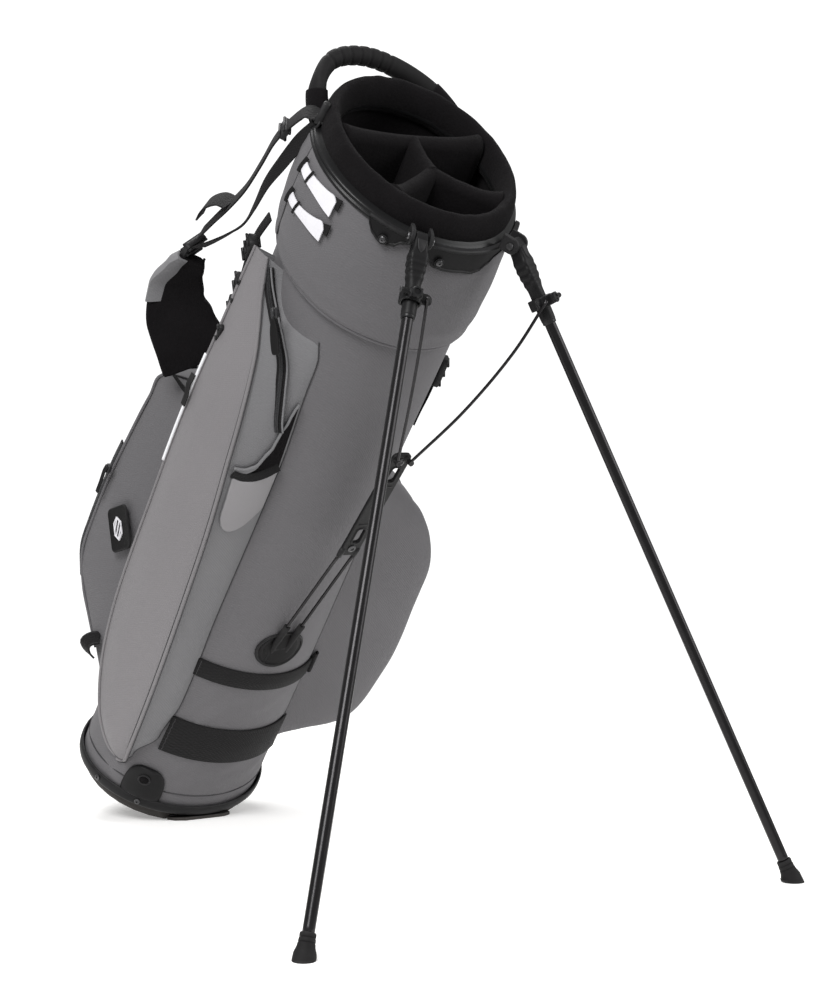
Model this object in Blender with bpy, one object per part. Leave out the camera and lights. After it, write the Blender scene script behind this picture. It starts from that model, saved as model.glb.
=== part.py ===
"""Golf stand bag, leaning on its two opened legs.

Metres, +Z up, the bag's mouth leans towards -Y, the legs stand on the -Y side, and the
plane X = 0 halves the bag.  The origin is on the floor, at the middle of the small hinged
foot under the base.  Most pieces are built in the bag's own frame: x across the bag, y
from the leg side to the strap side, z from the base to the mouth.
"""
import math

import bmesh
import bpy
from mathutils import Matrix, Vector

# Driving dimensions, metres and degrees
LEAN = math.radians(34.2)        # lean of the bag from upright
MOUTH_SLANT = 0.247              # the mouth's plane rises towards the strap side
GAP = 0.0003                     # clearance between touching pieces
ROUND = 36                       # sides of the large oval pieces

SOLE_Z = -0.012                  # underside of the fixed sole, in the bag's frame
SOLE_EDGE_Y = -0.0819            # where the fixed sole ends and the hinged foot begins
FOOT_DEPTH = 0.021               # hinged foot, from its hinge to its toe
FOOT_WIDTH = 0.086
FOOT_THICK = 0.0038

TUBE_PROFILE = [                 # z, half width, half depth of the bag's tube
    (0.009, 0.1130, 0.0930),
    (0.250, 0.1095, 0.1010),
    (0.500, 0.1070, 0.1030),
    (0.700, 0.1085, 0.1065),
    (0.832, 0.1100, 0.1080),
]
TUBE_WALL = 0.003
CUFF_BOTTOM_Z = 0.705
CUFF_TOP_Z = 0.832

PIVOT_X = 0.063                  # leg pivots, each side of the middle
PIVOT_Y = -0.1190
PIVOT_Z = 0.826
FOOT_SPREAD_X = 0.320            # rubber boots on the floor, each side
FOOT_SPREAD_Y = -0.663
LEG_RADIUS = 0.0060
YOKE_LENGTH = 0.088              # moulded leg top, from the pivot down
CLAMP_DOWN = 0.067               # clamp ring, from the pivot down the leg
PIN_RADIUS = 0.0025

PLATE_TOP = Vector((0.0, -0.1580, 0.5840))
PLATE_BOTTOM = Vector((0.0, -0.1400, 0.4330))
PORT_Z = 0.272
LINK_RADIUS = 0.0017
ROD_RADIUS = 0.0020
ROD_HALF_GAP = 0.0100

SIDE = {"left": -1, "right": 1}


# ---------------------------------------------------------------- start empty
for old in list(bpy.data.objects):
    bpy.data.objects.remove(old, do_unlink=True)


# ---------------------------------------------------------------- materials
def material(name, color, roughness, metallic=0.0):
    made = bpy.data.materials.new(name)
    made.use_nodes = True
    shader = made.node_tree.nodes["Principled BSDF"]
    shader.inputs["Base Color"].default_value = (*color, 1.0)
    shader.inputs["Roughness"].default_value = roughness
    shader.inputs["Metallic"].default_value = metallic
    made.diffuse_color = (*color, 1.0)
    return made


GREY_CLOTH = material("grey_cloth", (0.145, 0.142, 0.148), 0.85)
PALE_PANEL = material("pale_panel", (0.235, 0.230, 0.235), 0.80)
BLACK_FLEECE = material("black_fleece", (0.012, 0.011, 0.012), 1.0)
BLACK_PLASTIC = material("black_plastic", (0.018, 0.018, 0.019), 0.45)
BLACK_WEBBING = material("black_webbing", (0.015, 0.015, 0.016), 0.75)
DARK_METAL = material("dark_metal", (0.070, 0.068, 0.070), 0.30, 0.9)
STEEL = material("steel", (0.35, 0.35, 0.36), 0.35, 1.0)
RUBBER = material("rubber", (0.030, 0.029, 0.030), 0.70)
WHITE_VINYL = material("white_vinyl", (0.80, 0.80, 0.82), 0.45)


# ---------------------------------------------------------------- frames
def empty(name, matrix):
    made = bpy.data.objects.new(name, None)
    bpy.context.scene.collection.objects.link(made)
    made.matrix_world = matrix
    return made


# the bag's frame stands so that the end of the fixed sole touches the floor
SOLE_LIFT = -SOLE_EDGE_Y * math.sin(LEAN) - SOLE_Z * math.cos(LEAN)
SOLE_BACK = FOOT_DEPTH / 2 + 0.0013
BAG_Y = SOLE_BACK - SOLE_EDGE_Y * math.cos(LEAN) + SOLE_Z * math.sin(LEAN)
BAG_MATRIX = Matrix.Translation((0, BAG_Y, SOLE_LIFT)) @ Matrix.Rotation(LEAN, 4, "X")
BAG = empty("bag_frame", BAG_MATRIX)


def joint_frame(name, origin, along_x, up):
    """An empty at a joint, its local X on the joint's axis, all in world space."""
    x_axis = along_x.normalized()
    z_axis = (up - up.dot(x_axis) * x_axis).normalized()
    y_axis = z_axis.cross(x_axis)
    turn = Matrix((x_axis, y_axis, z_axis)).transposed().to_4x4()
    return empty(name, Matrix.Translation(origin) @ turn)


# ---------------------------------------------------------------- mesh tools
def add(name, bm, mat, parent=None, at=(0, 0, 0)):
    """Turn a bmesh, built in its parent's frame, into a named object whose origin is at."""
    bmesh.ops.translate(bm, vec=-Vector(at), verts=bm.verts)
    bmesh.ops.recalc_face_normals(bm, faces=bm.faces)
    if bm.calc_volume(signed=True) < 0:
        bmesh.ops.reverse_faces(bm, faces=bm.faces)
    mesh = bpy.data.meshes.new(name)
    bm.to_mesh(mesh)
    bm.free()
    mesh.materials.append(mat)
    mesh.shade_smooth()
    mesh.set_sharp_from_angle(angle=math.radians(35))
    made = bpy.data.objects.new(name, mesh)
    bpy.context.scene.collection.objects.link(made)
    made.parent = parent
    made.location = at
    return made


def cut(target, cutter, operation="DIFFERENCE"):
    """Cut or join with a hidden guide piece, which is left out of the model."""
    cutter.hide_render = True
    cutter.display_type = "WIRE"
    step = target.modifiers.new(cutter.name, "BOOLEAN")
    step.operation = operation
    step.solver = "EXACT"
    step.object = cutter


def loft(rings, wrap=False):
    """Skin a row of closed rings, each a list of points.  wrap joins the last to the first."""
    bm = bmesh.new()
    made = [[bm.verts.new(point) for point in ring] for ring in rings]
    count = len(made[0])
    pairs = list(zip(made, made[1:]))
    if wrap:
        pairs.append((made[-1], made[0]))
    for low, high in pairs:
        for i in range(count):
            j = (i + 1) % count
            bm.faces.new((low[i], low[j], high[j], high[i]))
    if not wrap:
        bm.faces.new(list(reversed(made[0])))
        bm.faces.new(made[-1])
    return bm


def prism(outline, low, high):
    """Extrude an outline of (x, y) points between two heights."""
    return loft([[Vector((x, y, z)) for x, y in outline] for z in (low, high)])


def box(size, centre):
    bm = bmesh.new()
    bmesh.ops.create_cube(bm, size=1.0, matrix=Matrix.Translation(centre) @ Matrix.Diagonal((*size, 1)))
    return bm


def spline(points, steps):
    """A smooth curve through points (Catmull-Rom), steps stretches between each pair."""
    points = [Vector(p) for p in points]
    ends = [2 * points[0] - points[1]] + points + [2 * points[-1] - points[-2]]
    curve = []
    for p0, p1, p2, p3 in zip(ends, ends[1:], ends[2:], ends[3:]):
        for k in range(steps):
            t = k / steps
            curve.append(0.5 * (2 * p1 + (p2 - p0) * t + (2 * p0 - 5 * p1 + 4 * p2 - p3) * t ** 2
                                + (3 * p1 - p0 - 3 * p2 + p3) * t ** 3))
    curve.append(points[-1])
    return curve


def sweep(path, section, wide):
    """Carry a section of (across, out) points along a path; wide is its across direction."""
    rings = []
    for i, point in enumerate(path):
        ahead = path[min(i + 1, len(path) - 1)] - path[max(i - 1, 0)]
        ahead.normalize()
        across = Vector(wide)
        across = (across - across.dot(ahead) * ahead).normalized()
        out = ahead.cross(across)
        rings.append([point + across * a + out * b for a, b in section])
    return loft(rings)


def oval(half_width, half_depth, sides):
    turn = [2 * math.pi * k / sides for k in range(sides)]
    return [(half_width * math.cos(a), half_depth * math.sin(a)) for a in turn]


def rounded(width, depth, corner, steps=3):
    """A rounded rectangle of (x, y) points."""
    outline = []
    for quarter in range(4):
        middle_x = (width / 2 - corner) * (1 if quarter in (0, 3) else -1)
        middle_y = (depth / 2 - corner) * (1 if quarter in (0, 1) else -1)
        for k in range(steps + 1):
            angle = math.pi / 2 * (quarter + k / steps)
            outline.append((middle_x + corner * math.cos(angle), middle_y + corner * math.sin(angle)))
    return outline


def rod(start, end, radius, sides=10):
    start, end = Vector(start), Vector(end)
    return sweep([start, end], oval(radius, radius, sides), (end - start).orthogonal())


# ---------------------------------------------------------------- the bag's surface
def slanted(x, y, z):
    """The bag's rings tilt more and more towards the mouth."""
    return Vector((x, y, z * (1 + MOUTH_SLANT * y)))


def between(table, z):
    """Read a table of (z, a, b, ...) rows at height z."""
    if z <= table[0][0]:
        return table[0][1:]
    for low, high in zip(table, table[1:]):
        if z <= high[0]:
            t = (z - low[0]) / (high[0] - low[0])
            t = t * t * (3 - 2 * t)
            return [a + (b - a) * t for a, b in zip(low[1:], high[1:])]
    return table[-1][1:]


def on_tube(angle, z, out=0.0):
    """A point on the tube: angle 0 faces the legs, 90 the right side, -90 the left side."""
    half_width, half_depth = between(TUBE_PROFILE, z)
    a = math.radians(angle)
    return slanted((half_width + out) * math.sin(a), -(half_depth + out) * math.cos(a), z)


def ring_at(z, half_width, half_depth):
    return [slanted(x, y, z) for x, y in oval(half_width, half_depth, ROUND)]


def wall(profile):
    """A hoop round the bag whose cross-section is (z, half width, half depth) points."""
    return loft([ring_at(*row) for row in profile], wrap=True)


def strip_on_tube(start, end, low, high, out=0.0014, thick=0.0018, steps=14):
    """A band of webbing round part of the tube; low and high are its edges' heights."""
    rings = []
    for k in range(steps + 1):
        angle = start + (end - start) * k / steps
        rings.append([on_tube(angle, low, out), on_tube(angle, low, out + thick),
                      on_tube(angle, high, out + thick), on_tube(angle, high, out)])
    return loft(rings)


# ================================================================ tube and cuff
# the tube is one thin wall, open at the mouth and at the base
TUBE_HEIGHTS = (0.009, 0.130, 0.250, 0.380, 0.500, 0.600, 0.700, 0.832)
tube_outer = [(z, *between(TUBE_PROFILE, z)) for z in TUBE_HEIGHTS]
tube_inner = [(z, a - TUBE_WALL, b - TUBE_WALL) for z, a, b in reversed(tube_outer)]
tube = add("tube_shell", wall(tube_outer + tube_inner), GREY_CLOTH, BAG)

# the oval port in its leg side lets the spreader's rods in
PORT_HALF_X, PORT_HALF_Z = 0.0260, 0.0300
port_y = on_tube(0, PORT_Z).y
PORT_SIDES = 24
port_hole = loft([[Vector((x, y, PORT_Z + z)) for x, z in oval(PORT_HALF_X, PORT_HALF_Z, PORT_SIDES)]
                  for y in (port_y - 0.02, port_y + 0.02)])
cut(tube, add("port_hole_guide", port_hole, BLACK_PLASTIC, BAG))

CUFF = [                         # z, half width, half depth of the padded cuff
    (CUFF_BOTTOM_Z, 0.1135, 0.1125),
    (0.716, 0.1180, 0.1170),
    (0.760, 0.1205, 0.1200),
    (0.800, 0.1205, 0.1195),
    (CUFF_TOP_Z, 0.1185, 0.1180),
]
CUFF_INNER = 0.0006
cuff_inner = []
for z in (CUFF_TOP_Z, 0.770, CUFF_BOTTOM_Z):
    half_width, half_depth = between(TUBE_PROFILE, z)
    cuff_inner.append((z, half_width + CUFF_INNER, half_depth + CUFF_INNER))
add("cuff_shell", wall(CUFF + cuff_inner), GREY_CLOTH, BAG)

# the moulded mouth frame narrows from the cuff to the fleece rim pad
FRAME_LOW = CUFF_TOP_Z + GAP
FRAME_HIGH = 0.8500
add("mouth_frame", wall([
    (FRAME_LOW, 0.1190, 0.1185), (FRAME_LOW + 0.006, 0.1190, 0.1185), (FRAME_HIGH, 0.1040, 0.1050),
    (FRAME_HIGH, 0.0900, 0.0910), (FRAME_LOW, 0.0900, 0.0910),
]), BLACK_PLASTIC, BAG)

PAD_MIDDLE_X, PAD_MIDDLE_Y = 0.0890, 0.0905
PAD_THICK, PAD_HIGH = 0.0135, 0.0125
pad_z = FRAME_HIGH + GAP + PAD_HIGH
pad_profile = []
for a in [math.radians(22.5 + 45 * k) for k in range(8)]:
    out = PAD_THICK * math.cos(a)
    pad_profile.append((pad_z + PAD_HIGH * math.sin(a), PAD_MIDDLE_X + out, PAD_MIDDLE_Y + out))
add("rim_pad", wall(pad_profile), BLACK_FLEECE, BAG)

# ================================================================ dividers
# four fleece walls part the mouth into four bays; each is rounded along its top
DIVIDER_THICK = 0.011
DIVIDER_LOW, DIVIDER_HIGH = 0.660, 0.8640
DIVIDER_HUB_Y = -0.022
DIVIDER_BACK_Y = 0.022
divider_section = [(DIVIDER_THICK / 2 * math.cos(a), DIVIDER_THICK / 2 * math.sin(a))
                   for a in [math.radians(30 * k) for k in range(7)]]


def divider(name, start, end):
    start, end = Vector((*start, 0)), Vector((*end, 0))
    along = (end - start).normalized()
    across = Vector((along.y, -along.x, 0))
    outline = [(DIVIDER_THICK / 2, DIVIDER_LOW)]
    outline += [(a, DIVIDER_HIGH + b) for a, b in divider_section]
    outline += [(-DIVIDER_THICK / 2, DIVIDER_LOW)]
    rings = []
    for k in range(5):
        point = start.lerp(end, k / 4)
        rings.append([slanted(point.x + across.x * a, point.y + across.y * a, z) for a, z in outline])
    add(name, loft(rings), BLACK_FLEECE, BAG)


divider("back_divider", (-0.0700, DIVIDER_BACK_Y), (0.0700, DIVIDER_BACK_Y))
divider("centre_divider", (0, DIVIDER_BACK_Y - DIVIDER_THICK / 2 - 0.001), (0, DIVIDER_HUB_Y + 0.002))
for side, s in SIDE.items():
    divider(side + "_divider", (s * 0.0065, DIVIDER_HUB_Y - 0.008), (s * 0.0560, -0.0470))

# ================================================================ lift handle
# a curved moulded grip behind the mouth, fixed to the cuff at both ends
handle_path = spline([(-0.086, 0.072, 0.838), (-0.0885, 0.094, 0.858), (-0.0800, 0.1120, 0.8790),
                      (-0.0560, 0.1260, 0.8960), (-0.0150, 0.1320, 0.9000), (0.0300, 0.1280, 0.8920),
                      (0.0680, 0.1120, 0.8790), (0.0880, 0.0920, 0.8660), (0.0880, 0.0740, 0.8560)], 3)
handle_section = oval(0.0105, 0.0085, 12)
handle = add("lift_handle", sweep(handle_path, handle_section, (0.25, 0.3, 1)), BLACK_PLASTIC, BAG)
cuff_envelope = [(0.690, 0.1210, 0.1205), (CUFF_TOP_Z, 0.1195, 0.1190),
                 (FRAME_LOW + 0.007, 0.1195, 0.1190), (FRAME_HIGH + 0.001, 0.1046, 0.1056),
                 (0.8800, 0.1046, 0.1056)]
envelope = add("cuff_envelope_guide", loft([ring_at(*row) for row in cuff_envelope]), GREY_CLOTH, BAG)
cut(handle, envelope)

# ================================================================ base
CUP_LOW, CUP_HIGH, CUP_WALL = 0.0040, 0.0185, 0.0035
CUP_X, CUP_Y = 0.1190, 0.0990
CUP_FLOOR = 0.0045
cup_rows = [(CUP_LOW, CUP_X - 0.002, CUP_Y - 0.002), (CUP_LOW + 0.003, CUP_X, CUP_Y),
            (CUP_HIGH, CUP_X, CUP_Y), (CUP_HIGH, CUP_X - CUP_WALL, CUP_Y - CUP_WALL),
            (CUP_LOW + CUP_FLOOR, CUP_X - CUP_WALL, CUP_Y - CUP_WALL)]
add("base_cup", loft([ring_at(*row) for row in cup_rows]), BLACK_PLASTIC, BAG)


def sole_outline(half_width, half_depth, z, edge_y, count=28):
    """An oval cut straight across where the hinged foot begins."""
    start = math.asin(-edge_y / half_depth)
    turns = [-start + (math.pi + 2 * start) * k / count for k in range(count + 1)]
    return [Vector((half_width * math.cos(a), half_depth * math.sin(a), z)) for a in turns]


sole_rows = [sole_outline(0.1040, 0.0900, SOLE_Z, SOLE_EDGE_Y),
             sole_outline(0.1100, 0.0935, -0.004, SOLE_EDGE_Y),
             sole_outline(0.1130, 0.0945, CUP_LOW - GAP, SOLE_EDGE_Y)]
sole = add("base_sole", loft(sole_rows), RUBBER, BAG)

# the small foot under the leg side hinges on a pin along the end of the sole
HINGE = Vector((0, FOOT_DEPTH / 2 - 0.0010, 0.0042))
BARREL_RADIUS, BARREL_HALF = 0.0030, 0.0300
FOOT_HINGE = joint_frame("foot_hinge_axis", HINGE, Vector((1, 0, 0)), Vector((0, 0, 1)))
half_foot, heel, toe = FOOT_WIDTH / 2, -0.0010, 0.001 - FOOT_DEPTH
foot_outline = [(-half_foot, heel), (-half_foot + 0.003, toe * 0.6), (-half_foot + 0.016, toe),
                (half_foot - 0.016, toe), (half_foot - 0.003, toe * 0.6), (half_foot, heel)]
foot = add("base_foot", prism(foot_outline, -HINGE.z, FOOT_THICK - HINGE.z), RUBBER, FOOT_HINGE)


def hinge_rod(half_length, radius):
    return rod((-half_length, 0, 0), (half_length, 0, 0), radius, 12)


FOOT_PIN_RADIUS, FOOT_PIN_HALF = 0.0013, 0.0385
cut(foot, add("barrel_guide", hinge_rod(BARREL_HALF, BARREL_RADIUS), RUBBER, FOOT_HINGE), "UNION")
cut(foot, add("foot_bore_guide", hinge_rod(half_foot, FOOT_PIN_RADIUS + GAP), RUBBER, FOOT_HINGE))
add("foot_pin", hinge_rod(FOOT_PIN_HALF, FOOT_PIN_RADIUS), STEEL, FOOT_HINGE)
notch = box((2 * BARREL_HALF + 0.0015, 0.0090, 0.0110), (0, 0.0005, 0.0010))
cut(sole, add("barrel_notch_guide", notch, RUBBER, FOOT_HINGE))
pin_hole = hinge_rod(FOOT_PIN_HALF + 0.0005, FOOT_PIN_RADIUS + GAP)
cut(sole, add("pin_hole_guide", pin_hole, RUBBER, FOOT_HINGE))

# a moulded tab stands up from the base cup on the left, screwed through the cup
TAB_ANGLE = -47
SKIN = 0.0014                    # clearance of what lies on the faceted tube
tab_section = [(-1, SKIN), (-0.4, SKIN), (0.4, SKIN), (1, SKIN),
               (1, 0.0035), (0.4, 0.0060), (-0.4, 0.0060), (-1, 0.0035)]
tab_heights = ((0.0190, 14.5), (0.0400, 14.5), (0.0540, 12.0), (0.0610, 6.0))
tab_rows = [[on_tube(TAB_ANGLE + half * k, z, out) for k, out in tab_section] for z, half in tab_heights]
add("base_tab", loft(tab_rows), BLACK_PLASTIC, BAG)


def screw(name, seat, outward, parent, radius=0.0035, height=0.0014):
    """A round screw head standing on a surface."""
    outward = Vector(outward).normalized()
    seat = Vector(seat)
    bm = sweep([seat + outward * GAP, seat + outward * height * 0.6, seat + outward * height],
               oval(radius, radius, 10), outward.orthogonal())
    add(name, bm, STEEL, parent)


def cup_face(angle, z):
    a = math.radians(angle)
    return slanted((CUP_X + 0.0002) * math.sin(a), -(CUP_Y + 0.0002) * math.cos(a), z)


def face_out(angle):
    a = math.radians(angle)
    return Vector((math.sin(a), -math.cos(a), 0))


screw("base_screw_front", cup_face(-45, 0.0115), face_out(-50), BAG)
screw("base_screw_side", cup_face(-76, 0.0115), face_out(-78), BAG)

# ================================================================ leg bracket
# one moulded bracket wraps the leg side of the cuff and carries both leg pivots
def cuff_at(angle, z, out):
    half_width, half_depth = between(CUFF, z)
    a = math.radians(angle)
    return slanted((half_width + out) * math.sin(a), -(half_depth + out) * math.cos(a), z)


BRACKET_IN, BRACKET_THICK, BRACKET_TOP = 0.0012, 0.0055, 0.8423
bracket_edges = [                # angle from the middle, lower edge, upper edge
    (-53, 0.8340, 0.8370), (-50, 0.8260, BRACKET_TOP), (-42, 0.8210, BRACKET_TOP),
    (-36, 0.8240, BRACKET_TOP), (-31, 0.8310, BRACKET_TOP), (-22, 0.8310, BRACKET_TOP),
    (-19, 0.8180, BRACKET_TOP), (-12, 0.8130, BRACKET_TOP), (-5, 0.8160, BRACKET_TOP),
]
bracket_rows = bracket_edges + [(0, 0.8080, BRACKET_TOP), (5, 0.8020, BRACKET_TOP)]
bracket_rows += [(-angle, low, high) for angle, low, high in reversed(bracket_edges[:-1])]


def bracket_ring(angle, low, high):
    """A slice of the bracket, over the cuff and the foot of the mouth frame."""
    out = BRACKET_IN + BRACKET_THICK
    return [cuff_at(angle, low, BRACKET_IN), cuff_at(angle, low, out),
            cuff_at(angle, high, out), cuff_at(angle, high, BRACKET_IN)]


bracket = add("leg_bracket", loft([bracket_ring(*row) for row in bracket_rows]), BLACK_PLASTIC, BAG)
PIVOTS = {side: Vector((s * PIVOT_X, PIVOT_Y, PIVOT_Z)) for side, s in SIDE.items()}
BOOTS = {side: Vector((s * FOOT_SPREAD_X, FOOT_SPREAD_Y, 0)) for side, s in SIDE.items()}
BAG_DOWN = (BAG_MATRIX.to_3x3() @ Vector((0, 0, -1))).normalized()
LEG_FRAMES = {}
for side, s in SIDE.items():
    pivot = BAG_MATRIX @ PIVOTS[side]
    leg = (BOOTS[side] - pivot).normalized()
    LEG_FRAMES[side] = joint_frame(side + "_leg_axis", pivot, leg.cross(BAG_DOWN) * s, -leg)

EAR_GAP, EAR_THICK, EAR_RADIUS, EAR_ROOT = 0.0082, 0.0040, 0.0090, 0.0210
for side, s in SIDE.items():
    to_leg = LEG_FRAMES[side].matrix_world
    to_bag = to_leg.inverted() @ BAG_MATRIX
    to_cuff = to_bag.to_3x3() @ Vector((0, 1, 0))
    inward = Vector((0, to_cuff.y, to_cuff.z)).normalized()
    sideways = Vector((1, 0, 0)).cross(inward)
    for end in (-1, 1):
        outline = [(EAR_RADIUS * math.cos(a), EAR_RADIUS * math.sin(a))
                   for a in [math.radians(90 + 180 * k / 8) for k in range(9)]]
        outline += [(EAR_ROOT, -EAR_RADIUS), (EAR_ROOT, EAR_RADIUS)]
        rings = [[Vector((end * x, 0, 0)) + inward * a + sideways * b for a, b in outline]
                 for x in (EAR_GAP, EAR_GAP + EAR_THICK)]
        ear = add(side + "_ear_guide", loft(rings), BLACK_PLASTIC, LEG_FRAMES[side])
        cut(bracket, ear, "UNION")
    hole = rod((-0.02, 0, 0), (0.02, 0, 0), PIN_RADIUS + GAP, 12)
    cut(bracket, add(side + "_pin_hole_guide", hole, BLACK_PLASTIC, LEG_FRAMES[side]))
    pin_end = EAR_GAP + EAR_THICK + 0.0012
    pin = rod((-pin_end, 0, 0), (pin_end, 0, 0), PIN_RADIUS, 12)
    add(side + "_pivot_pin", pin, STEEL, LEG_FRAMES[side])
trim_profile = [(0.690, 0.1184, 0.1174)] + CUFF[1:]
trim_profile += [(FRAME_LOW + 0.0065, 0.1190, 0.1185), (FRAME_HIGH, 0.1040, 0.1050),
                 (0.8850, 0.1040, 0.1050)]
TRIM_GAP = 0.0004
trim = loft([ring_at(z, a + TRIM_GAP, b + TRIM_GAP) for z, a, b in trim_profile])
cut(bracket, add("bracket_trim_guide", trim, GREY_CLOTH, BAG))

SCREW_Z, SCREW_SEAT = 0.8260, 0.0020
for name, angle in (("left", -43), ("middle", -13.5), ("right", 43)):
    seat = cuff_at(angle, SCREW_Z, SCREW_SEAT + BRACKET_THICK)
    screw("bracket_screw_" + name, seat, face_out(angle), BAG)

# ================================================================ legs
# built down -Z of the leg's own frame, from the pivot at its origin
YOKE = [                         # distance down, half width, half depth
    (-0.0062, 0.0035, 0.0030), (-0.0050, 0.0072, 0.0052), (0.0000, 0.0078, 0.0075),
    (0.0140, 0.0078, 0.0080), (0.0200, 0.0100, 0.0085), (0.0480, 0.0085, 0.0080),
    (0.0560, 0.0082, 0.0082), (YOKE_LENGTH, 0.0082, 0.0082),
]
SOCKET_DEEP, BOOT_HIGH, BOOT_DEEP = 0.0200, 0.0260, 0.0080
CLAMP_HALF, CLAMP_BORE, CLAMP_HIGH = 0.0115, 0.0086, 0.0120


def level_ring(points, down):
    return [Vector((x, y, -down)) for x, y in points]


for side, s in SIDE.items():
    frame = LEG_FRAMES[side]
    leg_length = (frame.matrix_world.translation - BOOTS[side]).length
    yoke_rings = [level_ring(rounded(2 * a, 2 * b, min(a, b) * 0.6), down) for down, a, b in YOKE]
    yoke = add(side + "_leg_yoke", loft(yoke_rings), BLACK_PLASTIC, frame)
    socket_end = -YOKE_LENGTH + SOCKET_DEEP
    socket = rod((0, 0, -YOKE_LENGTH - 0.01), (0, 0, socket_end), LEG_RADIUS + GAP, 16)
    cut(yoke, add(side + "_socket_guide", socket, BLACK_PLASTIC, frame))
    pivot_hole = rod((-0.02, 0, 0), (0.02, 0, 0), PIN_RADIUS + 0.0001, 12)
    cut(yoke, add(side + "_yoke_hole_guide", pivot_hole, BLACK_PLASTIC, frame))
    boot_top = leg_length - BOOT_HIGH
    tube_end = -boot_top - BOOT_DEEP
    leg_tube = rod((0, 0, socket_end - 0.0005), (0, 0, tube_end), LEG_RADIUS, 14)
    add(side + "_leg_tube", leg_tube, DARK_METAL, frame)
    # rubber boot: round at the top, cut level with the floor at the bottom
    to_leg = frame.matrix_world.inverted()
    floor_up = to_leg.to_3x3() @ Vector((0, 0, 1))
    floor_at = to_leg @ Vector((BOOTS[side].x, BOOTS[side].y, 0.0))
    boot_rings = [level_ring(oval(radius, radius, 16), boot_top + below)
                  for below, radius in ((0, 0.0078), (0.013, 0.0086), (0.019, 0.0106))]
    floor_ring = []
    for x, y in oval(0.0112, 0.0112, 16):
        rise = floor_up.dot(Vector((x, y, 0)) - floor_at)
        floor_ring.append(Vector((x, y, -rise / floor_up.z)))
    boot = add(side + "_boot", loft(boot_rings + [floor_ring]), RUBBER, frame)
    boot_bore = rod((0, 0, -boot_top + 0.01), (0, 0, tube_end - GAP), LEG_RADIUS + GAP, 16)
    cut(boot, add(side + "_boot_bore_guide", boot_bore, RUBBER, frame))
    # clamp ring with a lug on the side away from the bag, where the spring rod hooks in
    front = -s * 0.0145
    clamp_rings = []
    for half, corner, ends in ((CLAMP_HALF, 0.0070, (-0.5, 0.5)), (CLAMP_BORE, 0.0052, (0.5, -0.5))):
        for end in ends:
            square = rounded(2 * half, 2 * half, corner)
            clamp_rings.append(level_ring(square, CLAMP_DOWN + end * CLAMP_HIGH))
    clamp = add(side + "_leg_clamp", loft(clamp_rings, wrap=True), BLACK_PLASTIC, frame)
    lug = box((0.0130, 0.0090, 0.0110), (0, front + s * 0.0005, -CLAMP_DOWN))
    cut(clamp, add(side + "_clamp_lug_guide", lug, BLACK_PLASTIC, frame), "UNION")
    stub = rod((0.0050, front, -CLAMP_DOWN), (0.0155, front, -CLAMP_DOWN), 0.0032)
    cut(clamp, add(side + "_clamp_stub_guide", stub, BLACK_PLASTIC, frame), "UNION")

# ================================================================ spreader
# the sliding plate, the two rods that enter the bag, and a spring rod to each leg
plate_up = (PLATE_TOP - PLATE_BOTTOM).normalized()
plate_out = Vector((1, 0, 0)).cross(plate_up)
plate_length = (PLATE_TOP - PLATE_BOTTOM).length
plate_mid = (PLATE_TOP + PLATE_BOTTOM) / 2
PLATE_TURN = Matrix((Vector((1, 0, 0)), plate_up, plate_out)).transposed()
PLATE_FRAME = empty("spreader_slide_axis", BAG_MATRIX @ Matrix.Translation(plate_mid) @ PLATE_TURN.to_4x4())
PLATE_WIDTH, PLATE_THICK = 0.0200, 0.0036
plate_outline = rounded(PLATE_WIDTH, plate_length, 0.0060)
plate_bm = prism(plate_outline, -PLATE_THICK / 2, PLATE_THICK / 2)
plate = add("spreader_plate", plate_bm, BLACK_PLASTIC, PLATE_FRAME)
WINDOW_FROM_END, RIVET_FROM_END = 0.0300, 0.0110
for name, end in (("lower_rivet", -1), ("upper_rivet", 1)):
    window_y = end * (plate_length / 2 - WINDOW_FROM_END)
    window = [(x, y + window_y) for x, y in rounded(0.0085, 0.0200, 0.0030)]
    guide = add("plate_window_guide", prism(window, -PLATE_THICK, PLATE_THICK), BLACK_PLASTIC, PLATE_FRAME)
    cut(plate, guide)
    rivet_at = (0, end * (plate_length / 2 - RIVET_FROM_END), PLATE_THICK / 2)
    screw(name, rivet_at, (0, 0, 1), PLATE_FRAME, 0.0045, 0.0018)

PORT_AIM = Vector((0, port_y - 0.0004, PORT_Z))
rod_dive = (PLATE_BOTTOM - PORT_AIM).normalized()
inside = PORT_AIM - rod_dive * 0.060
rod_low = Vector((0, -0.0740, 0.0650))
rod_knee = Vector((0, -0.0800, 0.1300))
rod_curve = spline([PLATE_BOTTOM - rod_dive * 0.0015, PORT_AIM, inside, rod_knee, rod_low], 4)
right_run = [p + Vector((ROD_HALF_GAP, 0, 0)) for p in rod_curve]
left_run = [p - Vector((ROD_HALF_GAP, 0, 0)) for p in rod_curve]
u_bend = [rod_low + Vector((ROD_HALF_GAP * math.cos(a), 0, -ROD_HALF_GAP * math.sin(a)))
          for a in [math.radians(30 * k) for k in range(1, 6)]]
rod_line = right_run + u_bend + list(reversed(left_run))
add("spreader_rods", sweep(rod_line, oval(ROD_RADIUS, ROD_RADIUS, 8), (0, -1, 0.05)), DARK_METAL, BAG)

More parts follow.
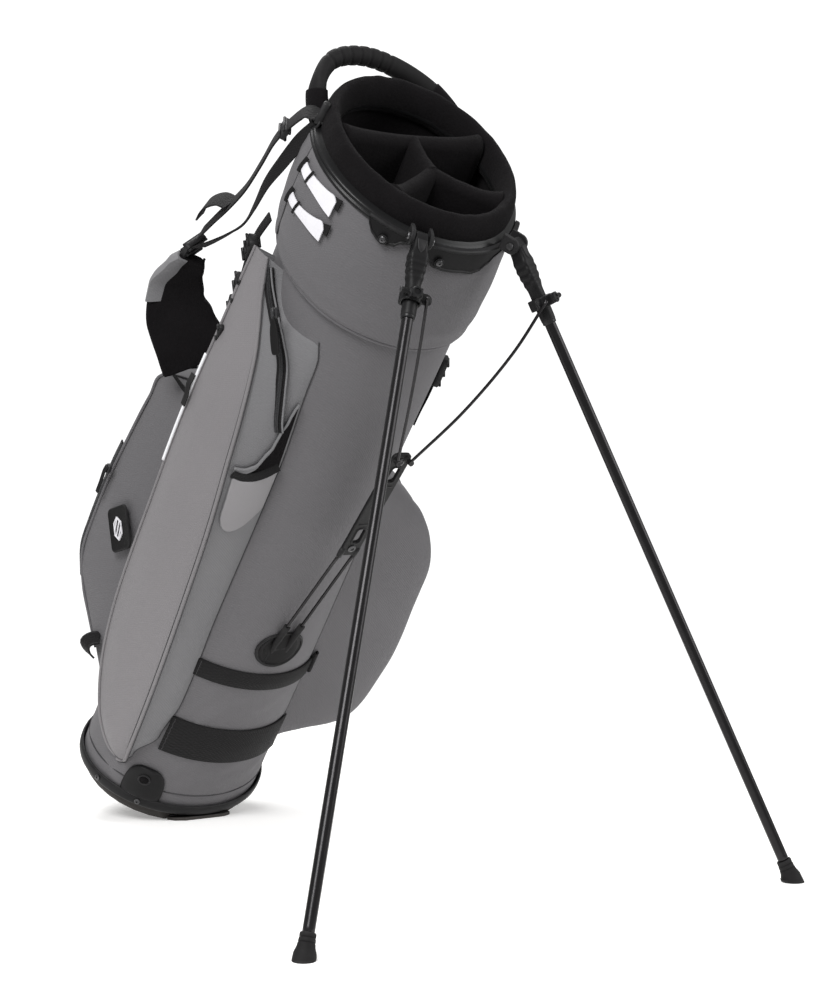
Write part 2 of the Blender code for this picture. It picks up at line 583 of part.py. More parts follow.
LINK_TOPS, LINK_FEET = {}, {}
for side, s in SIDE.items():
    to_bag = BAG_MATRIX.inverted() @ LEG_FRAMES[side].matrix_world
    LINK_TOPS[side] = to_bag @ Vector((-0.0128, -s * 0.0145, -CLAMP_DOWN))
    LINK_FEET[side] = PLATE_TOP + Vector((s * 0.0085, -0.0060, -0.0080))
    top, low = LINK_TOPS[side], LINK_FEET[side]
    bow = Vector((s * 0.004, -0.008, 0))
    curve = spline([low, low.lerp(top, 0.35) + bow, low.lerp(top, 0.70) + bow, top], 5)
    link = sweep(curve, oval(LINK_RADIUS, LINK_RADIUS, 8), (0, 1, 0))
    add(side + "_spring_rod", link, DARK_METAL, BAG, low)

# an oval moulded rim lines the port
def port_rim(half_x, half_z, out):
    tube_radius = 0.105
    return [on_tube(math.degrees(math.asin(x / tube_radius)), PORT_Z + z, out)
            for x, z in oval(half_x, half_z, PORT_SIDES)]


add("port_grommet", loft([port_rim(0.0300, 0.0320, 0.0008), port_rim(0.0291, 0.0311, 0.0022),
                          port_rim(0.0252, 0.0294, 0.0022), port_rim(0.0249, 0.0291, 0.0008)],
                         wrap=True), BLACK_PLASTIC, BAG)

# ================================================================ bands of webbing
for name, low, high in (("upper_band", 0.213, 0.230), ("lower_band", 0.094, 0.144)):
    add(name, strip_on_tube(-43.5, 44, low, high), BLACK_WEBBING, BAG)


# ================================================================ pockets
POCKET_GAP = 0.0020


def pocket(name, stations, root_front, root_back, steps=10):
    """A closed pouch on the tube.

    Each station is (z, slant, reach, outline): outline is the pouch's plan in the bag's
    frame, from its front root to its back root, pulled in towards the tube by reach.
    root_front lists (z, angle) rows of the front root.
    """
    rings = []
    for z, slant, reach, outline in stations:
        front_angle = between(root_front, z)[0]
        front = on_tube(front_angle, z, POCKET_GAP)
        back = on_tube(root_back, z, POCKET_GAP)
        front, back = Vector((front.x, front.y)), Vector((back.x, back.y))
        ring = []
        for point in spline([(*front, 0)] + [(*p, 0) for p in outline] + [(*back, 0)], 3):
            flat = Vector(point[:2])
            angle = math.atan2(flat.x, -flat.y)
            half_width, half_depth = between(TUBE_PROFILE, z)
            skin = Vector((half_width + POCKET_GAP, half_depth + POCKET_GAP))
            skin = Vector((skin.x * math.sin(angle), -skin.y * math.cos(angle)))
            flat = skin.lerp(flat, reach)
            ring.append(Vector((flat.x, flat.y, z + slant * flat.y)))
        turn = (front_angle - root_back) / steps
        for k in range(1, steps):
            inner = on_tube(root_back + turn * k, z, POCKET_GAP)
            ring.append(Vector((inner.x, inner.y, z + slant * inner.y)))
        rings.append(ring)
    add(name, loft(rings), GREY_CLOTH, BAG)


# long slim pocket on the left: a welted front edge, a broad outer panel, a rounded tip
def left_plan(ridge, cheek):
    x, y = ridge
    return [ridge, (x - 0.012, y + 0.035), (-cheek, 0.012), (-cheek + 0.016, 0.044), (-0.101, 0.058)]


pocket("left_pocket", [
    (0.698, 0.24, 0.12, left_plan((-0.124, 0.010), 0.122)),
    (0.680, 0.24, 0.80, left_plan((-0.124, 0.000), 0.124)),
    (0.645, 0.23, 1.00, left_plan((-0.124, -0.020), 0.126)),
    (0.600, 0.22, 1.00, left_plan((-0.130, -0.045), 0.132)),
    (0.520, 0.14, 1.00, left_plan((-0.136, -0.062), 0.143)),
    (0.410, 0.08, 1.00, left_plan((-0.131, -0.070), 0.148)),
    (0.280, 0.05, 1.00, left_plan((-0.127, -0.070), 0.145)),
    (0.160, 0.00, 1.00, left_plan((-0.122, -0.068), 0.138)),
    (0.105, 0.00, 0.95, left_plan((-0.117, -0.058), 0.130)),
    (0.065, 0.00, 0.75, left_plan((-0.116, -0.040), 0.124)),
    (0.045, 0.00, 0.30, left_plan((-0.116, -0.020), 0.122)),
], [(0.045, -66), (0.065, -62), (0.105, -52), (0.160, -46)], -118)


# deep pocket low on the right
def right_plan(width):
    return [(0.082 + 0.113 * width, -0.084), (0.100 + 0.110 * width, -0.040),
            (0.104 + 0.104 * width, 0.015), (0.100 + 0.078 * width, 0.052), (0.104, 0.060)]


pocket("right_pocket", [
    (0.476, 0.0, 0.10, right_plan(0.15)),
    (0.456, 0.0, 0.60, right_plan(0.45)),
    (0.425, 0.0, 0.90, right_plan(0.80)),
    (0.375, 0.0, 1.00, right_plan(0.97)),
    (0.290, 0.0, 1.00, right_plan(1.00)),
    (0.200, 0.0, 1.00, right_plan(1.00)),
    (0.158, 0.0, 0.96, right_plan(0.92)),
    (0.138, 0.0, 0.70, right_plan(0.60)),
    (0.128, 0.0, 0.15, right_plan(0.20)),
], [(0, 46)], 118)


# ball pocket on the strap side
def back_plan(half, depth):
    return [(-half * 0.93, 0.098), (-half, depth * 0.90), (-half * 0.55, depth), (half * 0.55, depth),
            (half, depth * 0.90), (half * 0.93, 0.098)]


pocket("back_pocket", [
    (0.500, 0.10, 0.20, back_plan(0.093, 0.160)),
    (0.488, 0.10, 0.92, back_plan(0.098, 0.170)),
    (0.430, 0.05, 1.00, back_plan(0.102, 0.176)),
    (0.310, 0.00, 1.00, back_plan(0.106, 0.188)),
    (0.200, 0.00, 1.00, back_plan(0.106, 0.186)),
    (0.160, 0.00, 0.92, back_plan(0.102, 0.172)),
    (0.100, 0.00, 0.55, back_plan(0.096, 0.140)),
    (0.062, 0.00, 0.15, back_plan(0.094, 0.125)),
], [(0, -128)], -232, steps=12)

# ================================================================ trim on the pockets
# elastic bottle sleeve on the front of the left pocket
add("bottle_sleeve", box((0.0400, 0.0035, 0.0750), (-0.1080, -0.08325, 0.4775)), PALE_PANEL, BAG)

FLAT_TAPE = rounded(0.0085, 0.0018, 0.0008, 1)
left_zip_path = spline([(-0.1310, -0.0080, 0.6960), (-0.1270, -0.0260, 0.6720), (-0.1200, -0.0500, 0.6350),
                        (-0.1150, -0.0700, 0.6000), (-0.1120, -0.0760, 0.5660)], 4)
add("left_zip", sweep(left_zip_path, FLAT_TAPE, (-0.7, 0.7, 0)), BLACK_PLASTIC, BAG)

BACK_ZIP_Y = 0.1660
back_zip_path = [Vector((-0.1125, BACK_ZIP_Y, z)) for z in (0.335, 0.165)]
add("back_zip", sweep(back_zip_path, FLAT_TAPE, (0, 1, 0)), BLACK_PLASTIC, BAG)


def zip_slider(name, at, down, out):
    """A slider body in a frame whose Z runs back up its zip and whose Y points out."""
    turn = Matrix((out.cross(-down), out, -down)).transposed().to_4x4()
    frame = empty(name + "_frame", BAG_MATRIX @ Matrix.Translation(at) @ turn)
    add(name, prism(rounded(0.0080, 0.0040, 0.0012, 2), -0.0060, 0.0060), BLACK_PLASTIC, frame)
    return frame


left_zip_start = Vector((-0.1315, -0.0300, 0.6740))
left_zip_end = Vector((-0.1215, -0.0780, 0.6000))
zip_down = (left_zip_end - left_zip_start).normalized()
zip_out = Vector((-0.82, -0.57, 0))
zip_out = (zip_out - zip_out.dot(zip_down) * zip_down).normalized()
LEFT_ZIP_FRAME = zip_slider("left_zip_slider", left_zip_start, zip_down, zip_out)
pull = prism(rounded(0.0095, 0.0022, 0.0010, 2), -0.0420, -0.0040)
pull_at = Matrix.Translation((0, 0.0045, -0.0020))
PULL_FRAME = empty("left_pull_axis", LEFT_ZIP_FRAME.matrix_world @ pull_at)
add("left_zip_pull", pull, RUBBER, PULL_FRAME)

back_zip_top = Vector((-0.1165, BACK_ZIP_Y, 0.3250))
BACK_ZIP_FRAME = zip_slider("back_zip_slider", back_zip_top, Vector((0, 0, -1)), Vector((-1, 0, 0)))

# a plain moulded badge faces left on the ball pocket
BADGE_X, BADGE_THICK = -0.1090, 0.0020
BADGE_TURN = math.radians(48)    # it stands upright when the bag leans on its legs
badge_outline = []
for across, along in rounded(0.0400, 0.0520, 0.0050):
    badge_outline.append((0.1130 - across * math.cos(BADGE_TURN) + along * math.sin(BADGE_TURN),
                          0.2770 + across * math.sin(BADGE_TURN) + along * math.cos(BADGE_TURN)))
badge_rings = [[Vector((x, y, z)) for y, z in badge_outline] for x in (BADGE_X, BADGE_X - BADGE_THICK)]
add("badge", loft(badge_rings), RUBBER, BAG)

# two white vinyl tags lie round the left of the cuff
TAG_IN, TAG_OUT, TAG_STEPS = 0.0012, 0.0032, 7
TAG_START, TAG_SWEEP = -103, 33
for name, low, high in (("upper_tag", 0.805, 0.824), ("lower_tag", 0.773, 0.792)):
    rings = []
    for k in range(TAG_STEPS + 1):
        angle = TAG_START + TAG_SWEEP * k / TAG_STEPS
        rings.append([cuff_at(angle, low, TAG_IN), cuff_at(angle, low, TAG_OUT),
                      cuff_at(angle, high, TAG_OUT), cuff_at(angle, high, TAG_IN)])
    add(name, loft(rings), WHITE_VINYL, BAG)

# ================================================================ straps and buckles
WEBBING = rounded(0.0250, 0.0020, 0.0008, 1)
NARROW_WEBBING = rounded(0.0180, 0.0018, 0.0007, 1)
upper_webbing = spline([(-0.1060, 0.1120, 0.8200), (-0.1080, 0.1220, 0.7900), (-0.1100, 0.1280, 0.7550),
                        (-0.1200, 0.1340, 0.7250), (-0.1290, 0.1420, 0.7000)], 3)
add("upper_webbing", sweep(upper_webbing, WEBBING, (0.5, 1.0, 0)), BLACK_WEBBING, BAG)
second_webbing = spline([(-0.0960, 0.0960, 0.8040), (-0.1020, 0.0960, 0.7700), (-0.1080, 0.1000, 0.7300),
                         (-0.1140, 0.1120, 0.7000)], 3)
add("second_webbing", sweep(second_webbing, NARROW_WEBBING, (0.6, 1.0, 0)), BLACK_WEBBING, BAG)

add("strap_anchor", box((0.0060, 0.0220, 0.0140), (-0.1060, 0.1060, 0.8330)), BLACK_PLASTIC, BAG)
STRAP_OUT = Vector((-1.0, 0.5, 0)).normalized()
slider_low = Vector((-0.1075, 0.1200, 0.7960)) + STRAP_OUT * 0.0046
slider_high = slider_low + Vector((0, 0, 0.0120))
slider_section = rounded(0.0300, 0.0050, 0.0010, 1)
add("strap_slider", sweep([slider_low, slider_high], slider_section, (0.5, 1.0, 0)), BLACK_PLASTIC, BAG)
add("ladder_lock", box((0.0080, 0.0300, 0.0310), (-0.1310, 0.1480, 0.6825)), BLACK_PLASTIC, BAG)
pad_path = spline([(-0.1280, 0.1540, 0.6560), (-0.1280, 0.1700, 0.6300), (-0.1260, 0.1830, 0.5950),
                   (-0.1120, 0.1850, 0.5600), (-0.0850, 0.1750, 0.5350)], 4)
PAD_SECTION = rounded(0.0560, 0.0140, 0.0060)
add("shoulder_pad", sweep(pad_path, PAD_SECTION, (0.7, 0.7, 0)), BLACK_WEBBING, BAG)
add("rear_buckle", box((0.0120, 0.0160, 0.0640), (-0.0930, 0.0950, 0.6560)), BLACK_PLASTIC, BAG)

side_section = [(53, 0.0010), (58, 0.0010), (63, 0.0010), (63, 0.0070), (58, 0.0085), (53, 0.0070)]
side_rings = [[on_tube(angle, z, out) for angle, out in side_section] for z in (0.6050, 0.6420)]
add("side_buckle", loft(side_rings), BLACK_PLASTIC, BAG)
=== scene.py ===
import math

import bmesh
import bpy
from mathutils import Matrix, Vector, noise


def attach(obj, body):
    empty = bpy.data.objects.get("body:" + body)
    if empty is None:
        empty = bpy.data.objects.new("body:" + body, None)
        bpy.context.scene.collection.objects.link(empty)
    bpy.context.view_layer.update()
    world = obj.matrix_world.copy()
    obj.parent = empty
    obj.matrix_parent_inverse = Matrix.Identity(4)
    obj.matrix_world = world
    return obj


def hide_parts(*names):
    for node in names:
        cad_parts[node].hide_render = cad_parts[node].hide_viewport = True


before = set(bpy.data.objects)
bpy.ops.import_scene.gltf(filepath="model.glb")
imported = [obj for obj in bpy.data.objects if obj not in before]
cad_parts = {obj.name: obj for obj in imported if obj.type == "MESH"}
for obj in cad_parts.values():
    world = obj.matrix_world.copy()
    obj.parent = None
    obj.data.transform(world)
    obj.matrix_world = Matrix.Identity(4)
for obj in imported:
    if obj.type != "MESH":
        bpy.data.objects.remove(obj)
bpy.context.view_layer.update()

# ---------------------------------------------------------------- camera
# A portrait lens at hip height looks at the bag from its leg side, a little to the left.
CAMERA_AT = Vector((-1.649, -2.521, 0.545))
CAMERA_TURN = math.radians(-37.784)
CAMERA_PITCH = math.radians(-3.069)
CAMERA_ROLL = math.radians(0.899)
CAMERA_LENS = 91.08

ahead = Vector((-math.sin(CAMERA_TURN) * math.cos(CAMERA_PITCH),
                math.cos(CAMERA_TURN) * math.cos(CAMERA_PITCH), math.sin(CAMERA_PITCH)))
level_right = Vector((math.cos(CAMERA_TURN), math.sin(CAMERA_TURN), 0))
level_up = level_right.cross(ahead)
right = math.cos(CAMERA_ROLL) * level_right + math.sin(CAMERA_ROLL) * level_up
up = math.cos(CAMERA_ROLL) * level_up - math.sin(CAMERA_ROLL) * level_right
camera_data = bpy.data.cameras.new("camera")
camera_data.lens = CAMERA_LENS
camera_data.sensor_width = 36
camera = bpy.data.objects.new("camera", camera_data)
camera.matrix_world = Matrix.Translation(CAMERA_AT) @ Matrix((right, up, -ahead)).transposed().to_4x4()
bpy.context.scene.collection.objects.link(camera)
bpy.context.scene.camera = camera
bpy.context.scene.view_settings.view_transform = "Standard"

# ---------------------------------------------------------------- floor and light
# A plain white sweep under three broad soft lights: the strongest over the camera's left
# shoulder, a weaker one from the right and one from above.  The metal legs carry one highlight.
FLOOR_HALF = 6.0


def plain_material(name, color, roughness):
    made = bpy.data.materials.new(name)
    made.use_nodes = True
    shader = made.node_tree.nodes["Principled BSDF"]
    shader.inputs["Base Color"].default_value = (*color, 1)
    shader.inputs["Roughness"].default_value = roughness
    return made


floor_mesh = bpy.data.meshes.new("floor")
floor_mesh.from_pydata([(-FLOOR_HALF, -FLOOR_HALF, 0), (FLOOR_HALF, -FLOOR_HALF, 0),
                        (FLOOR_HALF, FLOOR_HALF, 0), (-FLOOR_HALF, FLOOR_HALF, 0)], [], [(0, 1, 2, 3)])
floor_mesh.materials.append(plain_material("floor_paper", (0.93, 0.925, 0.915), 0.9))
# the paper fades into the white room a little way out from the bag
paper = floor_mesh.materials[0].node_tree
paper.nodes["Principled BSDF"].inputs["Emission Color"].default_value = (1.0, 0.99, 0.98, 1)
paper.nodes["Principled BSDF"].inputs["Emission Strength"].default_value = 0.22
paper_place = paper.nodes.new("ShaderNodeTexCoord")
paper_reach = paper.nodes.new("ShaderNodeVectorMath")
paper_reach.operation = "LENGTH"
paper.links.new(paper_place.outputs["Object"], paper_reach.inputs[0])
paper_fade = paper.nodes.new("ShaderNodeMapRange")
paper_fade.interpolation_type = "SMOOTHSTEP"
for label, amount in (("From Min", 0.55), ("From Max", 1.5), ("To Min", 1.0), ("To Max", 0.0)):
    paper_fade.inputs[label].default_value = amount
paper.links.new(paper_reach.outputs["Value"], paper_fade.inputs["Value"])
paper.links.new(paper_fade.outputs["Result"], paper.nodes["Principled BSDF"].inputs["Alpha"])
floor = bpy.data.objects.new("floor", floor_mesh)
bpy.context.scene.collection.objects.link(floor)

world = bpy.data.worlds.new("studio")
world.use_nodes = True
backdrop = world.node_tree.nodes["Background"]
backdrop.inputs["Color"].default_value = (1.0, 1.0, 1.0, 1)
seen = world.node_tree.nodes.new("ShaderNodeLightPath")
level = world.node_tree.nodes.new("ShaderNodeMapRange")
level.inputs["To Min"].default_value = 0.52
level.inputs["To Max"].default_value = 1.15
world.node_tree.links.new(seen.outputs["Is Camera Ray"], level.inputs["Value"])
world.node_tree.links.new(level.outputs["Result"], backdrop.inputs["Strength"])
bpy.context.scene.world = world


def soft_light(name, at, target, size, power):
    data = bpy.data.lights.new(name, "AREA")
    data.shape = "DISK"
    data.size = size
    data.energy = power
    lamp = bpy.data.objects.new(name, data)
    lamp.location = at
    lamp.rotation_euler = (Vector(target) - Vector(at)).to_track_quat("-Z", "Y").to_euler()
    bpy.context.scene.collection.objects.link(lamp)


soft_light("key_light", (-2.2, -1.6, 2.4), (0, -0.2, 0.45), 1.6, 88)
soft_light("fill_light", (1.9, -2.2, 1.5), (0, -0.2, 0.45), 1.8, 34)
soft_light("top_light", (0.2, 0.9, 2.6), (0, -0.2, 0.3), 1.8, 44)

# ---------------------------------------------------------------- tube
# The tube is coated cloth sewn over a thin plastic shell.  It is taut along most of its length
# and puckers a little over the base and beside the pockets.
TUBE_LOW, TUBE_HIGH, TUBE_SIDES = 0.0125, 0.742, 144
PUCKERS = [                      # angle, height, length, breadth, depth, slope of each crease
    (-22, 0.170, 0.060, 0.012, 0.0016, 1.3), (-34, 0.182, 0.045, 0.010, 0.0014, 1.9),
    (-8, 0.065, 0.070, 0.011, 0.0012, 0.7), (12, 0.058, 0.080, 0.012, 0.0012, 0.4),
    (30, 0.070, 0.060, 0.012, 0.0012, 0.9), (-28, 0.072, 0.055, 0.010, 0.0014, 1.4),
    (28, 0.185, 0.060, 0.011, 0.0010, -1.1), (8, 0.178, 0.070, 0.014, 0.0008, 0.5),
    (-72, 0.033, 0.060, 0.011, 0.0014, -0.8), (-96, 0.050, 0.060, 0.012, 0.0012, 0.6),
]


def pucker(angle, z):
    """How far the cloth stands out at a place on the tube."""
    out = 0.0005 * noise.noise(Vector((angle * 0.05, z * 9, 3.1)))
    for at, height, length, breadth, depth, slope in PUCKERS:
        across = math.radians(angle - at) * 0.105
        rise = z - height
        along = (across + rise * slope) / math.sqrt(1 + slope ** 2)
        aside = (rise - across * slope) / math.sqrt(1 + slope ** 2)
        hold = math.exp(-(aside / breadth) ** 2 - (along / length) ** 2 * 4)
        out += depth * hold * math.cos(aside / breadth * 2.2)
    return out


TUBE_PROFILE = [(0.009, 0.1130, 0.0930), (0.250, 0.1095, 0.1010), (0.500, 0.1070, 0.1030),
                (0.700, 0.1085, 0.1065), (0.832, 0.1100, 0.1080)]
MOUTH_SLANT = 0.247


def slanted(x, y, z):
    return Vector((x, y, z * (1 + MOUTH_SLANT * y)))


def between(table, z):
    """Read a table of (z, a, b, ...) rows at height z."""
    if z <= table[0][0]:
        return table[0][1:]
    for low, high in zip(table, table[1:]):
        if z <= high[0]:
            t = (z - low[0]) / (high[0] - low[0])
            t = t * t * (3 - 2 * t)
            return [a + (b - a) * t for a, b in zip(low[1:], high[1:])]
    return table[-1][1:]


def on_tube(angle, z, out=0.0, table=TUBE_PROFILE):
    """A point on the bag: angle 0 faces the legs, 90 the right, -90 the left."""
    half_width, half_depth = between(table, z)
    a = math.radians(angle)
    return slanted((half_width + out) * math.sin(a), -(half_depth + out) * math.cos(a), z)


def skin(rings, loop=True, wrap=False, caps=True):
    """Verts and faces of a surface through rows of points; loop closes each row."""
    count = len(rings[0])
    verts = [v for ring in rings for v in ring]
    faces = []
    rows = list(range(len(rings) - 1)) + ([len(rings) - 1] if wrap else [])
    for r in rows:
        s = (r + 1) % len(rings)
        for i in range(count if loop else count - 1):
            j = (i + 1) % count
            faces.append((r * count + i, r * count + j, s * count + j, s * count + i))
    if caps and loop and not wrap:
        faces.append(tuple(reversed(range(count))))
        faces.append(tuple(range((len(rings) - 1) * count, len(rings) * count)))
    return verts, faces


# The bag is cut and sewn on a straight form: x across it, y from the leg side to the strap
# side, z from the base to the mouth.  It leans back on its legs by LEAN.
LEAN = math.radians(34.2)
BAG = Matrix.Translation((0, 0.07279, 0.05596)) @ Matrix.Rotation(LEAN, 4, "X")


def piece(name, shape, material, body="bag", place=BAG, crease=None, flip=False):
    """Make a named piece from verts and faces in the place frame, and let it ride on a body."""
    verts, faces = shape
    bm = bmesh.new()
    made = [bm.verts.new(place @ Vector(v)) for v in verts]
    for face in faces:
        bm.faces.new([made[i] for i in face])
    bmesh.ops.recalc_face_normals(bm, faces=bm.faces)
    if flip:
        bmesh.ops.reverse_faces(bm, faces=bm.faces)
    mesh = bpy.data.meshes.new(name)
    bm.to_mesh(mesh)
    bm.free()
    mesh.shade_smooth()
    if crease:
        mesh.set_sharp_from_angle(angle=math.radians(crease))
    mesh.materials.append(material)
    made = bpy.data.objects.new(name, mesh)
    bpy.context.scene.collection.objects.link(made)
    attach(made, body)
    return made


def effect(name, inputs, outputs):
    """An empty node group with named sockets."""
    tree = bpy.data.node_groups.new(name, "ShaderNodeTree")
    for label, value in inputs:
        socket = tree.interface.new_socket(label, in_out="INPUT", socket_type="NodeSocketFloat")
        socket.default_value = value
    for label in outputs:
        tree.interface.new_socket(label, in_out="OUTPUT", socket_type="NodeSocketFloat")
    return tree, tree.nodes.new("NodeGroupInput"), tree.nodes.new("NodeGroupOutput")


def calc(tree, operation, first, second=None, third=None):
    """A math node; each value is a number or a socket."""
    node = tree.nodes.new("ShaderNodeMath")
    node.operation = operation
    for index, value in enumerate((first, second, third)):
        if value is None:
            continue
        if isinstance(value, (int, float)):
            node.inputs[index].default_value = value
        else:
            tree.links.new(value, node.inputs[index])
    return node.outputs[0]


def bag_space(tree):
    """Coordinates along the bag's own axes, so that threads run straight up the leaning bag."""
    place = tree.nodes.new("ShaderNodeTexCoord")
    turn = tree.nodes.new("ShaderNodeMapping")
    turn.inputs["Rotation"].default_value = (-LEAN, 0, 0)
    tree.links.new(place.outputs["Object"], turn.inputs["Vector"])
    return turn.outputs["Vector"]


def noise_at(tree, vector, scale, detail=3.0, rough=0.5):
    node = tree.nodes.new("ShaderNodeTexNoise")
    node.inputs["Detail"].default_value = detail
    node.inputs["Roughness"].default_value = rough
    tree.links.new(vector, node.inputs["Vector"])
    if isinstance(scale, (int, float)):
        node.inputs["Scale"].default_value = scale
    else:
        tree.links.new(scale, node.inputs["Scale"])
    return node.outputs[0]


# woven threads crossing on the bias, with the odd slub and a broad uneven dye
WEAVE, weave_in, weave_out = effect("woven_threads", [("Threads", 200.0), ("Cloudiness", 9.0)],
                                    ["Tone", "Height"])
weave_space = bag_space(WEAVE)
thread_waves = []
for tilt in (1, -1):
    lay = WEAVE.nodes.new("ShaderNodeMapping")
    lay.inputs["Scale"].default_value = (1, 1, tilt)
    WEAVE.links.new(weave_space, lay.inputs["Vector"])
    wave = WEAVE.nodes.new("ShaderNodeTexWave")
    wave.bands_direction = "DIAGONAL"
    wave.inputs["Distortion"].default_value = 0.6
    wave.inputs["Detail"].default_value = 1.0
    WEAVE.links.new(lay.outputs["Vector"], wave.inputs["Vector"])
    WEAVE.links.new(weave_in.outputs["Threads"], wave.inputs["Scale"])
    thread_waves.append(wave.outputs["Fac"])
threads = calc(WEAVE, "MULTIPLY", thread_waves[0], thread_waves[1])
slubs = noise_at(WEAVE, weave_space, 420.0, 2.0)
clouds = noise_at(WEAVE, weave_space, weave_in.outputs["Cloudiness"], 4.0, 0.6)
weave_tone = calc(WEAVE, "MULTIPLY_ADD", threads, 0.25, calc(WEAVE, "MULTIPLY", slubs, 0.35))
weave_tone = calc(WEAVE, "MULTIPLY_ADD", clouds, 0.5, weave_tone)
WEAVE.links.new(weave_tone, weave_out.inputs["Tone"])
weave_height = calc(WEAVE, "MULTIPLY_ADD", slubs, 0.6, threads)
WEAVE.links.new(weave_height, weave_out.inputs["Height"])

# edges rubbed pale by handling: where the surface turns outward, broken up by scuffs
WEAR, wear_in, wear_out = effect("edge_wear", [("Width", 0.04), ("Scuffs", 120.0)], ["Mask"])
shape_node = WEAR.nodes.new("ShaderNodeNewGeometry")
above = calc(WEAR, "SUBTRACT", shape_node.outputs["Pointiness"], 0.5)
edge = calc(WEAR, "DIVIDE", above, wear_in.outputs["Width"])
scuffs = noise_at(WEAR, bag_space(WEAR), wear_in.outputs["Scuffs"], 3.0, 0.6)
worn = calc(WEAR, "MULTIPLY", edge, scuffs)
worn.node.use_clamp = True
WEAR.links.new(worn, wear_out.inputs["Mask"])


def mixed(tree, factor, low, high):
    """A colour between two, by a factor socket; each is a colour or a socket."""
    node = tree.nodes.new("ShaderNodeMix")
    node.data_type = "RGBA"
    tree.links.new(factor, node.inputs["Factor"])
    for socket, value in ((node.inputs["A"], low), (node.inputs["B"], high)):
        for found in (s for s in node.inputs if s.name == socket.name and s.type == "RGBA"):
            if isinstance(value, tuple):
                found.default_value = (*value, 1)
            else:
                tree.links.new(value, found)
    return [s for s in node.outputs if s.type == "RGBA"][0]


def finish(name, kind, settings, dark, light, rough, bump, metallic=0.0, wear=0.0, sheen=0.0,
           coat=0.0, shine=0.5):
    """A finish: an effect group's tone runs from dark to light, its height makes the bump.

    rough is the lowest and highest roughness, bump its depth in metres, wear how pale the
    rubbed edges go.
    """
    made = bpy.data.materials.new(name)
    made.use_nodes = True
    tree = made.node_tree
    shader = tree.nodes["Principled BSDF"]
    source = tree.nodes.new("ShaderNodeGroup")
    source.node_tree = kind
    for label, value in settings.items():
        source.inputs[label].default_value = value
    tone = source.outputs["Tone"]
    color = mixed(tree, tone, dark, light)
    if wear:
        rub = tree.nodes.new("ShaderNodeGroup")
        rub.node_tree = WEAR
        amount = calc(tree, "MULTIPLY", rub.outputs["Mask"], wear)
        color = mixed(tree, amount, color, tuple(min(1.0, c * 3 + 0.04) for c in light))
    tree.links.new(color, shader.inputs["Base Color"])
    roughness = calc(tree, "MULTIPLY_ADD", tone, rough[1] - rough[0], rough[0])
    tree.links.new(roughness, shader.inputs["Roughness"])
    relief = tree.nodes.new("ShaderNodeBump")
    relief.inputs["Strength"].default_value = 1.0
    relief.inputs["Distance"].default_value = bump
    tree.links.new(source.outputs["Height"], relief.inputs["Height"])
    tree.links.new(relief.outputs["Normal"], shader.inputs["Normal"])
    shader.inputs["Metallic"].default_value = metallic
    shader.inputs["Specular IOR Level"].default_value = shine
    shader.inputs["Sheen Weight"].default_value = sheen
    shader.inputs["Sheen Roughness"].default_value = 0.5
    shader.inputs["Coat Weight"].default_value = coat
    shader.inputs["Coat Roughness"].default_value = 0.25
    return made


GREY_CLOTH = finish("grey_twill", WEAVE, {"Threads": 210.0}, (0.094, 0.091, 0.096),
                    (0.130, 0.126, 0.132), (0.70, 0.86), 0.00018, sheen=0.05, shine=0.3)

tube_rings = []
tube_rows = 120
for r in range(tube_rows + 1):
    z = TUBE_LOW + (TUBE_HIGH - TUBE_LOW) * r / tube_rows
    angles = [360 * k / TUBE_SIDES - 180 for k in range(TUBE_SIDES)]
    tube_rings.append([on_tube(angle, z, 0.0004 + pucker(angle, z)) for angle in angles])
tube_cloth = piece("tube_cloth", skin(tube_rings, caps=False), GREY_CLOTH)
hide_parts("tube_shell")

# the nap of fleece: soft clumps with fine hairs over them
NAP, nap_in, nap_out = effect("fleece_nap", [("Clumps", 260.0)], ["Tone", "Height"])
nap_space = bag_space(NAP)
clumps = noise_at(NAP, nap_space, nap_in.outputs["Clumps"], 4.0, 0.7)
hairs = noise_at(NAP, nap_space, 1500.0, 2.0, 0.7)
drifts = noise_at(NAP, nap_space, 35.0, 3.0)
nap_height = calc(NAP, "MULTIPLY_ADD", hairs, 0.5, clumps)
NAP.links.new(nap_height, nap_out.inputs["Height"])
NAP.links.new(calc(NAP, "MULTIPLY_ADD", drifts, 0.6, calc(NAP, "MULTIPLY", clumps, 0.5)),
              nap_out.inputs["Tone"])

FLEECE = finish("black_fleece", NAP, {"Clumps": 260.0}, (0.0035, 0.0031, 0.0034),
                (0.0100, 0.0090, 0.0098), (0.92, 1.0), 0.0012, sheen=0.02, shine=0.06)

LINING_GAP = 0.0036
lining_rings = [[on_tube(360 * k / 96, z, -LINING_GAP) for k in range(96)]
                for z in (0.0135, 0.12, 0.25, 0.4, 0.55, 0.7, 0.80, 0.846)]
piece("tube_lining", skin(lining_rings, caps=False), FLEECE, flip=True)

# ---------------------------------------------------------------- padded cuff
# The cuff is foam-backed cloth in three panels.  It swells between its lower piping and the
# mouth frame, and an upright seam on each side pulls it in.
CUFF = [(0.705, 0.1125, 0.1115), (0.712, 0.1180, 0.1172), (0.735, 0.1215, 0.1205),
        (0.770, 0.1230, 0.1220), (0.805, 0.1218, 0.1210), (0.826, 0.1195, 0.1188),
        (0.8325, 0.1180, 0.1172)]
CUFF_STIFF = [(0.705, 0.1135, 0.1125), (0.716, 0.1180, 0.1170), (0.760, 0.1205, 0.1200),
              (0.800, 0.1205, 0.1195), (0.832, 0.1185, 0.1180)]
CUFF_SEAMS = (-108, 108)


def cuff_at(angle, z, out=0.0):
    pull = sum(0.0024 * math.exp(-((angle - seam) / 2.6) ** 2) for seam in CUFF_SEAMS)
    swell = 0.0022 * math.exp(-((angle + 90) / 30) ** 2)
    return on_tube(angle, z, out + swell - pull, CUFF)


